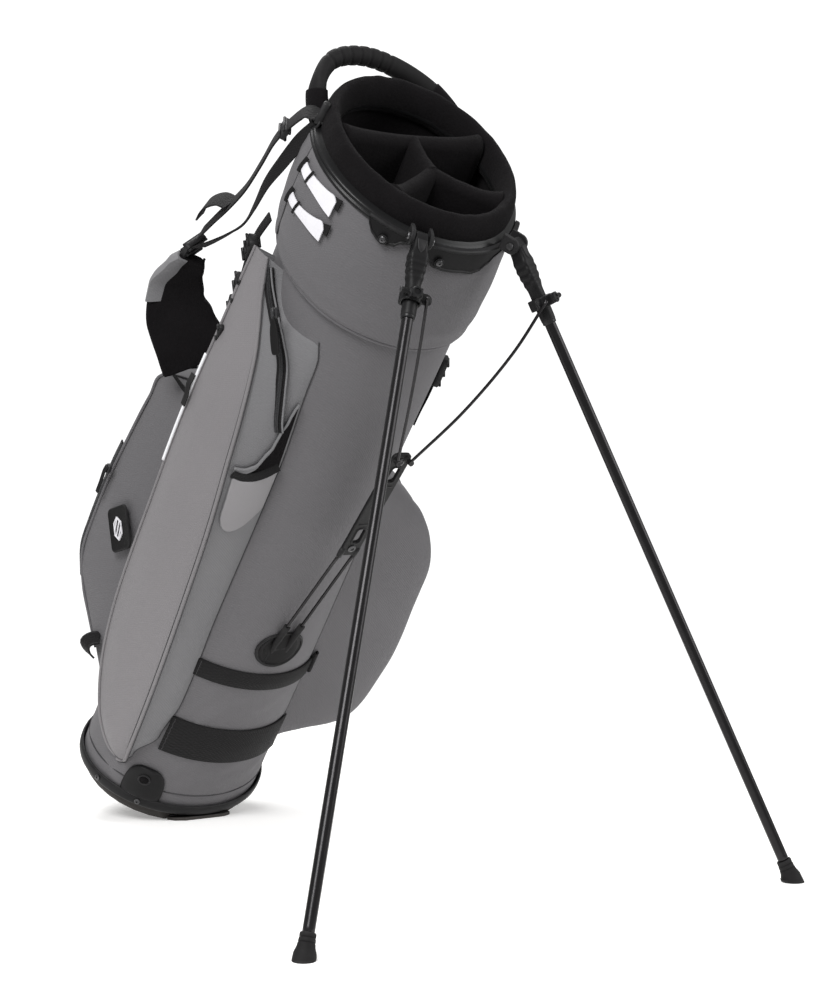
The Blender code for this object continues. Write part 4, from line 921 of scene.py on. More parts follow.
for side, s in SIDE.items():
    leg_body, place = side + "_leg", LEG[side]
    length = (place.translation - BOOTS[side]).length
    rings = []
    for down, a, b in YOKE:
        round_share = min(1.0, max(0.45, (down - 0.018) / 0.036))
        rings.append(level(rounded(2 * a, 2 * b, min(a, b) * 0.99 * round_share, 6), down))
    yoke = smoothed(piece(side + "_yoke", skin(rings), MOULDED, leg_body, place))
    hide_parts(side + "_leg_yoke")
    # the bracket's two ears, one each side of the yoke
    to_cuff = (place.inverted() @ BAG).to_3x3() @ Vector((0, 1, 0))
    inward = Vector((0, to_cuff.y, to_cuff.z)).normalized()
    sideways = Vector((1, 0, 0)).cross(inward)
    ear_turn = [math.radians(90 + 10 * k) for k in range(19)]
    ear = [(EAR_RADIUS * math.cos(a), EAR_RADIUS * math.sin(a)) for a in ear_turn]
    ear += [(EAR_ROOT, -EAR_RADIUS), (EAR_ROOT, EAR_RADIUS)]
    for name, end in (("near", -1), ("far", 1)):
        ear_rings = [[Vector((end * x, 0, 0)) + inward * a * k + sideways * b * k for a, b in ear]
                     for x, k in ((0.0082, 1.0), (0.0112, 1.0), (0.0122, 0.90))]
        piece(side + "_" + name + "_ear", skin(ear_rings), MOULDED, "bag", place, crease=35)
    # a raised wedge on the yoke's outer face, and the hub of the pivot
    front_y = -s * 0.0079
    wedge = [(-0.0052, -0.0030), (0.0052, -0.0030), (0.0036, -0.0130), (0, -0.0175), (-0.0036, -0.0130)]
    wedge_rings = [[Vector((x * k, front_y - s * o, -0.002 + z * k)) for x, z in wedge]
                   for o, k in ((-0.001, 1.0), (0.0008, 0.98), (0.0013, 0.86))]
    piece(side + "_yoke_wedge", skin(wedge_rings), MOULDED, leg_body, place, crease=30)
    pin = [(-0.0144, 0.0008), (-0.0144, 0.0034), (-0.0136, 0.0040), (-0.0124, 0.0040), (-0.0123, 0.0025),
           (0.0123, 0.0025), (0.0124, 0.0040), (0.0136, 0.0040), (0.0144, 0.0034), (0.0144, 0.0008)]
    pivot_pin = piece(side + "_pivot_rivet", turned(pin, (0, 0, 0), (1, 0, 0), 24), STEEL, "bag",
                      place, crease=40)
    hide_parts(side + "_pivot_pin")
    # the tube runs from its socket in the yoke to the boot
    boot_top = length - 0.0260
    tube = [Vector((0, 0, -0.0690 - (boot_top + 0.006 - 0.0690) * k / 60)) for k in range(61)]
    leg_tube = piece(side + "_alloy_tube", sweep(tube, oval(LEG_RADIUS, LEG_RADIUS, 40), (1, 0, 0)),
                     DARK_METAL, leg_body, place)
    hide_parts(side + "_leg_tube")
    ferrule = [(0.0868, 0.0064), (0.0868, 0.0074), (0.0900, 0.0074), (0.0906, 0.0070), (0.0906, 0.0062)]
    piece(side + "_ferrule", turned([(-h, r) for h, r in ferrule], (0, 0, 0), (0, 0, 1), 32), GLOSS_TRIM,
          leg_body, place, crease=40)
    # the ribbed rubber boot flares to a foot that is cut level with the floor
    inverse = place.inverted()
    floor_up = inverse.to_3x3() @ Vector((0, 0, 1))
    floor_at = inverse @ BOOTS[side]
    boot_rings = []
    for below, radius in ((0, 0.0062), (0, 0.0074), (0.0008, 0.0079), (0.0040, 0.0079), (0.0048, 0.0075),
                          (0.0056, 0.0081), (0.0086, 0.0083), (0.0094, 0.0078), (0.0102, 0.0085),
                          (0.0135, 0.0090), (0.0165, 0.0101), (0.0190, 0.0109)):
        boot_rings.append(level(oval(radius, radius, 40), boot_top + below))
    for radius, lift in ((0.0113, 0.0030), (0.0113, 0.0004), (0.0109, 0.0), (0.0060, 0.0)):
        ring = []
        for x, y in oval(radius, radius, 40):
            rise = floor_up.dot(Vector((x, y, 0)) - floor_at)
            ring.append(Vector((x, y, -(rise - lift) / floor_up.z)))
        boot_rings.append(ring)
    boot = piece(side + "_rubber_boot", skin(boot_rings), RUBBER, leg_body, place, crease=50)
    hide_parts(side + "_boot")
    # collar: a split ring, a lug with a hole for the rod, a screw, and a small paddle
    softened(side + "_collar", side + "_leg_clamp", MOULDED, leg_body, 0.0008, 4)
    front = -s * CLAMP_OUT
    screw(side + "_collar_screw", None, (0.0156, front, -CLAMP_DOWN), (1, 0, 0), 0.0028, 0.0014, leg_body,
          place)
    hub = [(0, 0.0058), (0.0010, 0.0058), (0.0018, 0.0050), (0.0018, 0.0034), (0.0008, 0.0030)]
    piece(side + "_rod_hub", turned(hub, (0, front - s * 0.0040, -CLAMP_DOWN), (0, -s, 0), 28), GLOSS_TRIM,
          leg_body, place, crease=40)
    paddle = [(0.0000, 0.0070), (0.0080, 0.0078), (0.0130, 0.0050), (0.0138, 0.0), (0.0130, -0.0050),
              (0.0080, -0.0072), (0.0000, -0.0060)]
    paddle_rings = [[Vector((-0.0075 - x, front * 0.35 + y, -CLAMP_DOWN + z)) for x, z in paddle]
                    for y in (-0.0026, 0.0026)]
    smoothed(piece(side + "_paddle", skin(paddle_rings), MOULDED, leg_body, place,
                   crease=30), 2)

# ---------------------------------------------------------------- spreader
# A nylon plate slides in front of the bag.  A spring rod runs from it to each leg, and a pair
# of rods runs from it through a port into the bag.
PLATE_TOP, PLATE_BOTTOM = Vector((0, -0.1580, 0.5840)), Vector((0, -0.1400, 0.4330))
plate_up = (PLATE_TOP - PLATE_BOTTOM).normalized()
plate_out = Vector((1, 0, 0)).cross(plate_up)
plate_length = (PLATE_TOP - PLATE_BOTTOM).length
PLATE = BAG @ Matrix.Translation((PLATE_TOP + PLATE_BOTTOM) / 2)
PLATE = PLATE @ Matrix((Vector((1, 0, 0)), plate_up, plate_out)).transposed().to_4x4()
broader = PLATE @ Matrix.Diagonal((1.22, 1.0, 1.15, 1)) @ PLATE.inverted()
softened("spreader_moulding", "spreader_plate", MOULDED, "spreader", 0.0007, 3, broader)
for name, node, end in (("low", "lower_rivet", -1), ("high", "upper_rivet", 1)):
    rivet_y = end * (plate_length / 2 - 0.0110)
    rivet = [(0, 0.0048), (0.0010, 0.0048), (0.0019, 0.0040), (0.0022, 0.0024), (0.0012, 0.0018)]
    head = piece(name + "_plate_rivet", turned(rivet, (0, rivet_y, 0.0018), (0, 0, 1), 28), STEEL,
                 "spreader", PLATE, crease=40)
    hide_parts(node)
    rim_y = end * (plate_length / 2 - 0.0300)
    frame_line = [Vector((x, y + rim_y, 0.0021)) for x, y in rounded(0.0115, 0.0228, 0.0042, 5)]
    piece(name + "_window_rim", cord(frame_line + frame_line[:2], 0.0010, 8), MOULDED,
          "spreader", PLATE)
    rib_y = end * (plate_length / 2 - 0.0475)
    rib = [Vector((x, rib_y, 0.0019)) for x in (-0.0080, 0, 0.0080)]
    piece(name + "_plate_rib", cord(rib, 0.0009, 8), MOULDED, "spreader", PLATE)

ROD_RADIUS, ROD_HALF_GAP, PORT_Z = 0.0020, 0.0100, 0.272
PORT_AIM = Vector((0, on_tube(0, PORT_Z).y - 0.0004, PORT_Z))
rod_dive = (PLATE_BOTTOM - PORT_AIM).normalized()
rod_low = Vector((0, -0.0740, 0.0650))
rod_curve = spline([PLATE_BOTTOM - rod_dive * 0.0015, PORT_AIM, PORT_AIM - rod_dive * 0.060,
                    Vector((0, -0.0800, 0.1300)), rod_low], 12)
half_gap = Vector((ROD_HALF_GAP, 0, 0))
u_bend = [rod_low + Vector((ROD_HALF_GAP * math.cos(a), 0, -ROD_HALF_GAP * math.sin(a)))
          for a in [math.radians(12 * k) for k in range(1, 15)]]
rod_line = [p + half_gap for p in rod_curve] + u_bend + [p - half_gap for p in reversed(rod_curve)]
rods = piece("slide_rods", sweep(rod_line, oval(ROD_RADIUS, ROD_RADIUS, 20), (0, -1, 0.05)), DARK_METAL,
             "spreader")
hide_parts("spreader_rods")
for side, s in SIDE.items():
    socket = [(0, 0.0030), (0.0060, 0.0034), (0.0120, 0.0030)]
    socket_at = PLATE_BOTTOM + Vector((s * ROD_HALF_GAP, 0, -0.0020))
    piece(side + "_rod_socket", turned(socket, socket_at, plate_up, 20), MOULDED,
          "spreader")
    to_bag = BAG.inverted() @ LEG[side]
    top = to_bag @ Vector((-0.0128, -s * CLAMP_OUT, -CLAMP_DOWN))
    low = PLATE_TOP + Vector((s * 0.0085, -0.0060, -0.0080))
    bow = Vector((s * 0.004, -0.008, 0))
    curve = spline([low, low.lerp(top, 0.35) + bow, low.lerp(top, 0.70) + bow, top], 16)
    link = piece(side + "_sprung_rod", sweep(curve, oval(0.0017, 0.0017, 18), (0, 1, 0)), DARK_METAL,
                 side + "_link")
    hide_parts(side + "_spring_rod")
    eye = [(-0.0030, 0.0016), (-0.0030, 0.0032), (0.0030, 0.0032), (0.0030, 0.0016)]
    piece(side + "_rod_eye", turned(eye, low, (0, -1, 0.12), 20), DARK_METAL, side + "_link",
          crease=40)


# the port: a moulded rim with a slit membrane that the rods slide through
def port_rim(half_x, half_z, out, sides=48):
    ring = oval(half_x, half_z, sides)
    return [on_tube(math.degrees(math.asin(x / 0.105)), PORT_Z + z, out) for x, z in ring]


port = piece("port_rim", skin([port_rim(0.0302, 0.0262, 0.0004), port_rim(0.0302, 0.0262, 0.0022),
                               port_rim(0.0294, 0.0254, 0.0034), port_rim(0.0276, 0.0238, 0.0034),
                               port_rim(0.0266, 0.0228, 0.0022), port_rim(0.0262, 0.0224, 0.0006)],
                              wrap=True),
             MOULDED)
smoothed(port)
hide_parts("port_grommet")
membrane_rings = [port_rim(0.0272 * k, 0.0234 * k, 0.0024 - 0.0008 * (1 - k))
                  for k in (1.0, 0.8, 0.6, 0.42, 0.01)]
piece("port_membrane", skin(membrane_rings), RUBBER)
for side, s in SIDE.items():
    collar = [p + Vector((s * ROD_HALF_GAP, 0, 0)) for p in rod_curve[9:15]]
    piece(side + "_port_collar", sweep(collar, oval(0.0040, 0.0040, 16), (1, 0, 0)), RUBBER)

# ---------------------------------------------------------------- bands
# Two strips of webbing cushion the folded legs against the bag.  Each is stitched down at its
# ends, and the upper one has a small loop at its right end.
WEBBING = finish("black_webbing", WEAVE, {"Threads": 150.0, "Cloudiness": 20.0}, (0.0050, 0.0048, 0.0050),
                 (0.0130, 0.0124, 0.0130), (0.62, 0.86), 0.00045, sheen=0.02, shine=0.15)

BANDS = [("leg_band", "upper_band", 0.2130, 0.2370), ("base_band", "lower_band", 0.0930, 0.1460)]
BAND_LEFT, BAND_SWEEP, BAND_DROP = -46.5, 90.5, 0.0090      # degrees round the tube, and its fall
for name, node, low, high in BANDS:
    rings = []
    for k in range(61):
        angle = BAND_LEFT + BAND_SWEEP * k / 60
        sag = 0.0012 * math.sin(math.pi * k / 60)
        strip = [(low, 0.0012), (low, 0.0030), (low + 0.0010, 0.0036), (0.5 * (low + high), 0.0038 + sag),
                 (high - 0.0010, 0.0036), (high, 0.0030), (high, 0.0012)]
        drop = BAND_DROP * (k / 60) ** 1.6
        rings.append([on_tube(angle, z - drop, out) for z, out in strip])
    band = piece(name, skin(rings), WEBBING)
    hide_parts(node)
    for end, angle in (("left", -44.5), ("right", 41.8)):
        drop = BAND_DROP if end == "right" else 0.0
        tack = [on_tube(angle + 0.5 * (k % 2), low - drop + 0.0015 + (high - low - 0.003) * k / 12, 0.0038)
                for k in range(13)]
        piece(name + "_" + end + "_tack", cord(tack, 0.0004, 6), SEAM_DARK)
LOOP_ANGLE = 45.5
loop_rings = []
for k in range(13):
    turn = math.pi * k / 12
    middle = on_tube(LOOP_ANGLE, 0.2200, 0.0035 + 0.0030 * math.sin(turn))
    out = face_out(LOOP_ANGLE)
    strip = [(-0.0125, 0), (-0.0125, 0.0016), (0.0150, 0.0016), (0.0150, 0)]
    aside = Vector((math.cos(math.radians(LOOP_ANGLE)), math.sin(math.radians(LOOP_ANGLE)), 0))
    middle += aside * (0.004 * math.cos(turn))
    loop_rings.append([middle + out * b + Vector((0, 0, a)) for a, b in strip])
piece("leg_band_loop", skin(loop_rings), WEBBING, crease=40)

# ---------------------------------------------------------------- base hardware
# A moulded tab stands over the base ring beside the pocket's tip; the sole and its hinged
# foot are rubber.
SOLE_RUBBER = finish("sole_rubber", GRAIN, {"Grain": 600.0}, (0.016, 0.0145, 0.0135),
                     (0.036, 0.032, 0.030), (0.60, 0.80), 0.00018, wear=0.3, shine=0.2)

TAB_ANGLE = -46.0
tab_rows = []
for z, half, lift in ((0.0165, 13.0, 0.0), (0.0180, 13.6, 0.0016), (0.0280, 13.8, 0.0024),
                      (0.0400, 13.4, 0.0026), (0.0520, 11.8, 0.0024), (0.0590, 8.4, 0.0018),
                      (0.0622, 4.0, 0.0006)):
    row = [(-1.04, 0.0010), (-1.0, 0.0026 + lift * 0.3), (-0.86, 0.0044 + lift * 0.6), (-0.4, 0.0056 + lift),
           (0.0, 0.0060 + lift), (0.4, 0.0056 + lift), (0.86, 0.0044 + lift * 0.6),
           (1.0, 0.0026 + lift * 0.3), (1.04, 0.0010)]
    tab_rows.append([on_tube(TAB_ANGLE + half * k, z, out) for k, out in row])
tab = smoothed(piece("moulded_tab", skin(tab_rows), MOULDED), 2)
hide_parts("base_tab")
slot_line = [on_tube(TAB_ANGLE + a, z, 0.0088) for a, z in
             [(3.4 * math.cos(t), 0.0470 + 0.0062 * math.sin(t))
              for t in [2 * math.pi * k / 24 for k in range(26)]]]
piece("tab_slot_rim", cord(slot_line, 0.0011, 8), MOULDED)
# the slot is not cut through: a matte black patch inside the rim is painted shade of the hole
piece("tab_slot", skin([[on_tube(TAB_ANGLE + 2.8 * math.cos(t), 0.0470 + 0.0052 * math.sin(t), out)
                         for t in [2 * math.pi * k / 24 for k in range(24)]] for out in (0.0060, 0.0091)]),
      FLEECE)
for name, angle, rise in (("front", -45, 0.0115), ("side", -76, 0.0115)):
    a = math.radians(angle)
    seat = slanted(0.1192 * math.sin(a), -0.0992 * math.cos(a), rise)
    screw("cup_screw_" + name, "base_screw_" + name, seat, face_out(angle - 4), 0.0035, 0.0016)
softened("rubber_sole", "base_sole", SOLE_RUBBER, "bag", 0.0014, 3)
softened("rubber_foot", "base_foot", SOLE_RUBBER, "foot", 0.0009, 3)
# the foot's pin lies level on the floor's own axes, not on the leaning bag's
foot_pin = [Vector((x, 0.0095, 0.0042)) for x in (-0.0385, 0.0, 0.0385)]
hinge_pin = piece("hinge_pin", cord(foot_pin, 0.0013, 20), STEEL, "foot", Matrix.Identity(4),
                  crease=40)
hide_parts("foot_pin")

# ---------------------------------------------------------------- left pocket: piping and zip
# Piping in a folded welt runs down the front edge of the panel and round its tip.  A coil zip
# curves across the gusset under a long rubber pull.


def offset_line(line, out, aside=0.0):
    """The same line moved away from the bag's axis, and aside along the surface."""
    moved = []
    for k, point in enumerate(line):
        run = (line[min(k + 1, len(line) - 1)] - line[max(k - 1, 0)]).normalized()
        away = Vector((point.x, point.y, 0)).normalized()
        side_step = run.cross(away).normalized()
        moved.append(point + away * out + side_step * aside)
    return moved


REFLECTIVE = finish("reflective_cord", WEAVE, {"Threads": 400.0}, (0.72, 0.72, 0.74),
                    (0.88, 0.88, 0.90), (0.30, 0.45), 0.0001)

tip = [(front_ridge[-1].lerp(back_ridge[-1], t) + Vector((-0.0030 * math.sin(math.pi * t), 0, -0.0012)))
       for t in (0.3, 0.7)]
front_welt = evenly(spline([front_ridge[k] for k in range(0, len(front_ridge), 5)] + tip, 8), 0.002)
piece("front_piping", cord(offset_line(front_welt, 0.0010), 0.0021, 10), LIT_POCKET_CLOTH)
for name, aside in (("outer", 0.0030), ("inner", -0.0030)):
    line = offset_line(front_welt, 0.0004, aside)
    piece("front_" + name + "_seam", cord(line, 0.0005, 6), SEAM_DARK)
back_welt = evenly(spline([back_ridge[k] for k in range(0, len(back_ridge), 5)], 8), 0.002)
piece("back_piping", cord(offset_line(back_welt, 0.0010), 0.0018, 10), LIT_POCKET_CLOTH)
root_line = evenly(front_root[4:-4], 0.002)
piece("gusset_root_seam", cord(offset_line(root_line, 0.0004), 0.0007, 6), SEAM_DARK)
glow = [p for p in back_welt if 0.430 < p.z < 0.570]
piece("reflective_piping", cord(offset_line(glow, 0.0028), 0.0019, 10), REFLECTIVE)
lead = min(back_welt, key=lambda p: abs(p.z - 0.530))
piece("ridge_pull", sweep([lead + Vector((-0.004, 0.004, 0.012)), lead + Vector((-0.0075, 0.002, 0.0)),
                           lead + Vector((-0.006, 0.000, -0.014)), lead + Vector((-0.006, 0.000, -0.026))],
                          oval(0.0042, 0.0016, 16), (0, 1, 0)), RUBBER)


def on_gusset(share, z):
    """A point of the front gusset, share of the way from the tube to the piping, at height z."""
    row = min(range(len(front_ridge)), key=lambda k: abs(front_ridge[k].z - z))
    line = front_gusset[row]
    spot = share * (len(line) - 1)
    low = int(min(spot, len(line) - 2))
    point = line[low].lerp(line[low + 1], spot - low)
    return point + Vector((point.x, point.y, 0)).normalized() * 0.0012


def joined(*parts):
    verts, faces = [], []
    for part_verts, part_faces in parts:
        start = len(verts)
        verts += part_verts
        faces += [tuple(start + i for i in face) for face in part_faces]
    return verts, faces


ZIP_COIL = finish("zip_coil", GRAIN, {"Grain": 900.0}, (0.0060, 0.0060, 0.0065),
                  (0.0130, 0.0130, 0.0140), (0.30, 0.45), 0.00006, wear=0.4, shine=0.25)

ZIP_STEPS = [(0.97, 0.700), (0.90, 0.682), (0.76, 0.664), (0.62, 0.644), (0.50, 0.622), (0.42, 0.600),
             (0.36, 0.580), (0.30, 0.562), (0.24, 0.550)]
zip_line = evenly(spline([on_gusset(*step) for step in ZIP_STEPS], 12), 0.0011)
zip_out = Vector((-0.82, -0.57, 0))
tape = sweep(offset_line(zip_line, 0.0006), rounded(0.0120, 0.0012, 0.0005, 2), (-0.35, 0.55, 0.2))
zip_tape = piece("gusset_zip_tape", tape, WEBBING, crease=40)
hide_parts("left_zip")
teeth = []
for k, point in enumerate(offset_line(zip_line, 0.0022)):
    run = (zip_line[min(k + 1, len(zip_line) - 1)] - zip_line[max(k - 1, 0)]).normalized()
    wide = (Vector((-0.35, 0.55, 0.2)) - Vector((-0.35, 0.55, 0.2)).dot(run) * run).normalized()
    for end in (-1, 1):
        spot = point + wide * end * 0.0011 + run * end * 0.0003
        teeth.append(sweep([spot - wide * 0.0012, spot + wide * 0.0012], oval(0.00045, 0.0007, 6), run))
piece("gusset_zip_coil", joined(*teeth), ZIP_COIL)
for name, aside in (("left", 0.0068), ("right", -0.0068)):
    fold = cord(offset_line(zip_line, 0.0012, aside), 0.0011, 8)
    piece("gusset_zip_lip_" + name, fold, GUSSET_CLOTH)


def block(name, node, outline, places, material, body="bag", place=BAG, crease=35):
    """A soft-edged slab: outline (a, b) points carried through (origin, axis a, axis b) places."""
    rings = [[at + wide * a * k + high * b * k for a, b in outline] for at, wide, high, k in places]
    made = piece(name, skin(rings), material, body, place, crease=crease)
    if node:
        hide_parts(node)
    return made


slide_start, slide_end = Vector((-0.1315, -0.0300, 0.6740)), Vector((-0.1215, -0.0780, 0.6000))
slide_down = (slide_end - slide_start).normalized()
slide_out = (zip_out - zip_out.dot(slide_down) * slide_down).normalized()
slide_side = slide_out.cross(-slide_down)
body_places = [(slide_start + slide_out * o, slide_side, -slide_down, k)
               for o, k in ((-0.0024, 0.92), (-0.0018, 1.0), (0.0012, 1.0), (0.0024, 0.86))]
block("zip_slider_body", "left_zip_slider", rounded(0.0084, 0.0118, 0.0030, 4), body_places, ZIP_COIL,
      "left_zip_slide_body")
bridge = [slide_start + slide_out * o - slide_down * h
          for o, h in ((0.0020, 0.0048), (0.0044, 0.0030), (0.0046, -0.0020), (0.0020, -0.0044))]
piece("zip_slider_bridge", sweep(spline(bridge, 5), oval(0.0014, 0.0008, 10), slide_side), ZIP_COIL,
      "left_zip_slide_body")
pull_at = slide_start + slide_out * 0.0045 + slide_down * 0.0020
pull_stations = [(0.0030, 0.30), (0.0040, 0.52), (0.0080, 0.62), (0.0120, 0.84), (0.0200, 1.0),
                 (0.0300, 1.0), (0.0380, 0.94), (0.0412, 0.78), (0.0420, 0.40)]
pull_rings = []
for down, wide in pull_stations:
    ridge = 1.0 + 0.14 * math.sin(down * 2000) * (0.016 < down < 0.037)
    section = rounded(0.0098 * wide, 0.0026 * ridge, 0.0011 * min(1, wide + 0.2), 4)
    pull_rings.append([pull_at + slide_down * down + slide_side * a + slide_out * b for a, b in section])
pull = smoothed(piece("long_rubber_pull", skin(pull_rings), RUBBER, "left_pull"))
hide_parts("left_zip_pull")

# ---------------------------------------------------------------- bottle sleeve
# A pale stretch panel low on the gusset holds a bottle.  A ribbed elastic band edges its top,
# and over that the gusset's own cloth ends in a slack lip.
SLEEVE_BAND = [(0.80, 0.4900), (0.60, 0.4880), (0.40, 0.4900), (0.20, 0.4960), (0.02, 0.5060)]


def sleeve_point(share, z, out):
    point = on_gusset(share, z)
    away = Vector((point.x, point.y, 0)).normalized()
    return Vector((point.x, point.y, z)) + away * out


SLEEVE_CLOTH = finish("stretch_panel", WEAVE, {"Threads": 300.0}, (0.195, 0.188, 0.194),
                      (0.255, 0.248, 0.255), (0.62, 0.78), 0.00012, sheen=0.06, shine=0.3)

band_run = spline([sleeve_point(share, z, 0.0034) for share, z in SLEEVE_BAND], 8)
sleeve_rows = []
for r in range(17):
    t = r / 16
    pinch = 0.05 * max(0.0, (t - 0.80) / 0.20) ** 2
    row = []
    for c in range(len(band_run)):
        u = c / (len(band_run) - 1)
        share = (0.80 - pinch) + (0.02 + pinch * 1.6 - (0.80 - pinch)) * u
        height = band_run[c].z - 0.0040 - (0.0680 - 0.0070 * abs(2 * u - 1) ** 3) * t
        row.append(sleeve_point(share, height, 0.0014 + 0.0026 * math.sin(math.pi * u) * math.cos(t * 1.45)))
    sleeve_rows.append(row)
sleeve = piece("stretch_panel", skin(sleeve_rows, loop=False), SLEEVE_CLOTH)
thick = sleeve.modifiers.new("cloth", "SOLIDIFY")
thick.thickness = 0.0016
smoothed(sleeve)
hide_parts("bottle_sleeve")
left_edge, right_edge = [row[0] for row in sleeve_rows], [row[-1] for row in reversed(sleeve_rows[:-1])]
edge_line = left_edge + sleeve_rows[-1][1:] + right_edge
piece("stretch_panel_seam", cord(edge_line, 0.0007, 6), GUSSET_CLOTH)
piece("elastic_band", sweep(band_run, rounded(0.0024, 0.0100, 0.0009, 3), (-0.8, -0.6, 0)), WEBBING,
      crease=50)
# the slack lip climbs towards the tube and leaves a gap over the band; a black sheet set into the gap is
# painted shade
LIP_RISE = [(0.0, 0.0080), (0.25, 0.0100), (0.5, 0.0140), (0.72, 0.0300), (0.88, 0.0560), (1.0, 0.0800)]
lip_line = []
for k, point in enumerate(band_run):
    share = k / (len(band_run) - 1)
    rise = between(LIP_RISE, share)[0]
    root_share = 0.80 - 0.78 * share
    lip_line.append(sleeve_point(max(0.02, root_share), point.z + rise, 0.0036))
# a black fleece sheet sunk between the band and the lip: painted shade inside the opening
gape_rows = []
for t in [k / 6 for k in range(7)]:
    gape = []
    for low, high in zip(band_run, lip_line):
        away = Vector((low.x, low.y, 0)).normalized()
        gape.append(low.lerp(high, t) - away * (0.0016 + 0.0010 * math.sin(math.pi * t)))
    gape_rows.append(gape)
piece("sleeve_gap_painted_shade", skin(gape_rows, loop=False), FLEECE)
lip_cloth = []
for t in [j / 5 for j in range(6)]:
    row = []
    for k, (low, high) in enumerate(zip(band_run, lip_line)):
        share = k / (len(band_run) - 1)
        row.append(high + (low - high) * t * (0.62 * (1 - max(0.0, share - 0.30) / 0.70) ** 1.4))
    lip_cloth.append(row)
piece("sleeve_lip_cloth", skin(lip_cloth, loop=False), GUSSET_CLOTH)
piece("sleeve_lip", cord(lip_line, 0.0016, 10), GUSSET_CLOTH)

# ---------------------------------------------------------------- ball pocket trim
# Black tape binds the top of the ball pocket, and its black is drawn deeper than the tape as painted
# shade over the pocket's top.  A long coil zip opens its left edge, and a rubber badge with a plain
# raised device is stitched to its side.


def on_ball(column, z):
    """A point of the ball pocket's skin: column runs 0 to 1 from its left root to its right."""
    line = ball_columns[int(round(column * (len(ball_columns) - 1)))]
    return min(line, key=lambda p: abs(p.z - z)).copy()


def ball_line(stops, out, step=0.002):
    """A line over the ball pocket through (column, z) stops, held off the cloth by out."""
    points = []
    for column, z in stops:
        point = on_ball(column, z)
        away = Vector((point.x, point.y - 0.09, 0)).normalized()
        points.append(point + away * out)
    return evenly(spline(points, 10), step)


for name, column in (("left", 0.245), ("right", 0.755)):
    stops = [(column, z) for z in (0.500, 0.470, 0.430, 0.370, 0.310, 0.250, 0.200, 0.160, 0.130, 0.100)]
    piece("ball_pocket_piping_" + name, cord(ball_line(stops, 0.0012), 0.0019, 10), GREY_CLOTH)
zip_stops = [(0.270, z) for z in (0.360, 0.320, 0.280, 0.240, 0.200, 0.165)]
side_zip = ball_line(zip_stops, 0.0022, 0.0012)
side_tape = piece("side_zip_tape", sweep(side_zip, rounded(0.0120, 0.0016, 0.0007, 2), (0.2, 1, 0)), WEBBING,
                  crease=40)
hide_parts("back_zip")
side_teeth = []
for k, point in enumerate(side_zip[1:-1]):
    for end in (-1, 1):
        spot = point + Vector((-0.0014, 0.0011 * end, 0.0003 * end))
        side_teeth.append(sweep([spot - Vector((0, 0.0012, 0)), spot + Vector((0, 0.0012, 0))],
                                oval(0.00045, 0.0007, 6), (0, 0, 1)))
piece("side_zip_coil", joined(*side_teeth), ZIP_COIL)
side_slide = Vector((-0.1165, 0.1660, 0.3250))
side_places = [(side_slide + Vector((-1, 0, 0)) * o, Vector((0, 1, 0)), Vector((0, 0, 1)), k)
               for o, k in ((-0.0022, 0.92), (-0.0016, 1.0), (0.0012, 1.0), (0.0022, 0.84))]
block("side_zip_slider", "back_zip_slider", rounded(0.0084, 0.0118, 0.0030, 4), side_places, ZIP_COIL,
      "back_zip_slide_body")
side_pull = [side_slide + Vector((-0.0030, 0, 0.004)), side_slide + Vector((-0.0042, 0, -0.004)),
             side_slide + Vector((-0.0036, 0, -0.020)), side_slide + Vector((-0.0036, 0, -0.034))]
piece("side_zip_pull", sweep(spline(side_pull, 5), oval(0.0032, 0.0012, 14), (0, 1, 0)), RUBBER,
      "back_zip_slide_body")
# two black strips over the pocket's top: partly its real binding, partly painted shade of the shadowed top
BINDING_AND_SHADE_COLUMNS = (0.04, 0.12, 0.20, 0.26, 0.34, 0.50, 0.66, 0.74, 0.80, 0.88, 0.96)
for name, rise, out, wide in (("top_binding_and_painted_shade", 0.4900, 0.0012, 0.0150),
                              ("binding_edge_and_painted_shade", 0.4720, 0.0016, 0.0060)):
    binding_and_shade_line = ball_line([(column, rise + 0.004 * math.sin(column * 9)) for column in BINDING_AND_SHADE_COLUMNS], out)
    piece(name, sweep(binding_and_shade_line, rounded(0.0016, wide, 0.0007, 3), (-1, 0.3, 0)), WEBBING,
          crease=50)

BADGE_AT, BADGE_TURN = Vector((-0.1105, 0.1130, 0.2770)), math.radians(48)
badge_wide = Vector((0, -math.cos(BADGE_TURN), math.sin(BADGE_TURN)))
badge_high = Vector((0, math.sin(BADGE_TURN), math.cos(BADGE_TURN)))
badge_out = Vector((-1, 0, 0))
badge_places = [(BADGE_AT + badge_out * o, badge_wide, badge_high, k)
                for o, k in ((-0.0010, 1.0), (0.0012, 1.0), (0.0019, 0.975), (0.0021, 0.94), (0.0016, 0.90))]
block("rubber_badge", "badge", rounded(0.0400, 0.0520, 0.0060, 6), badge_places, RUBBER, crease=60)

WHITE_VINYL = finish("white_vinyl", GRAIN, {"Grain": 500.0, "Patches": 60.0}, (0.66, 0.65, 0.68),
                     (0.78, 0.77, 0.80), (0.36, 0.50), 0.00006, shine=0.3)

# the raised device: an open six-sided ring with three slanting bars
device = [(0.0090 * math.sin(math.radians(60 * k)) * 1.05, 0.0145 * math.cos(math.radians(60 * k)))
          for k in range(6)]
device_rings = [[BADGE_AT + badge_out * o + badge_wide * a * k + badge_high * b * k for a, b in device]
                for o, k in ((0.0012, 1.0), (0.0029, 0.98), (0.0029, 0.84), (0.0012, 0.82))]
piece("badge_ring", skin(device_rings, caps=False), WHITE_VINYL, crease=30)
for k, (low, high) in enumerate((((-0.0078, -0.0020), (0.0010, 0.0120)),
                                 ((-0.0050, -0.0080), (0.0050, 0.0080)),
                                 ((-0.0010, -0.0120), (0.0078, 0.0020)))):
    ends = [BADGE_AT + badge_out * 0.0022 + badge_wide * a + badge_high * b for a, b in (low, high)]
    piece("badge_bar_" + str(k + 1), sweep(ends, rounded(0.0017, 0.0016, 0.0004, 2), badge_out), WHITE_VINYL,
          crease=30)
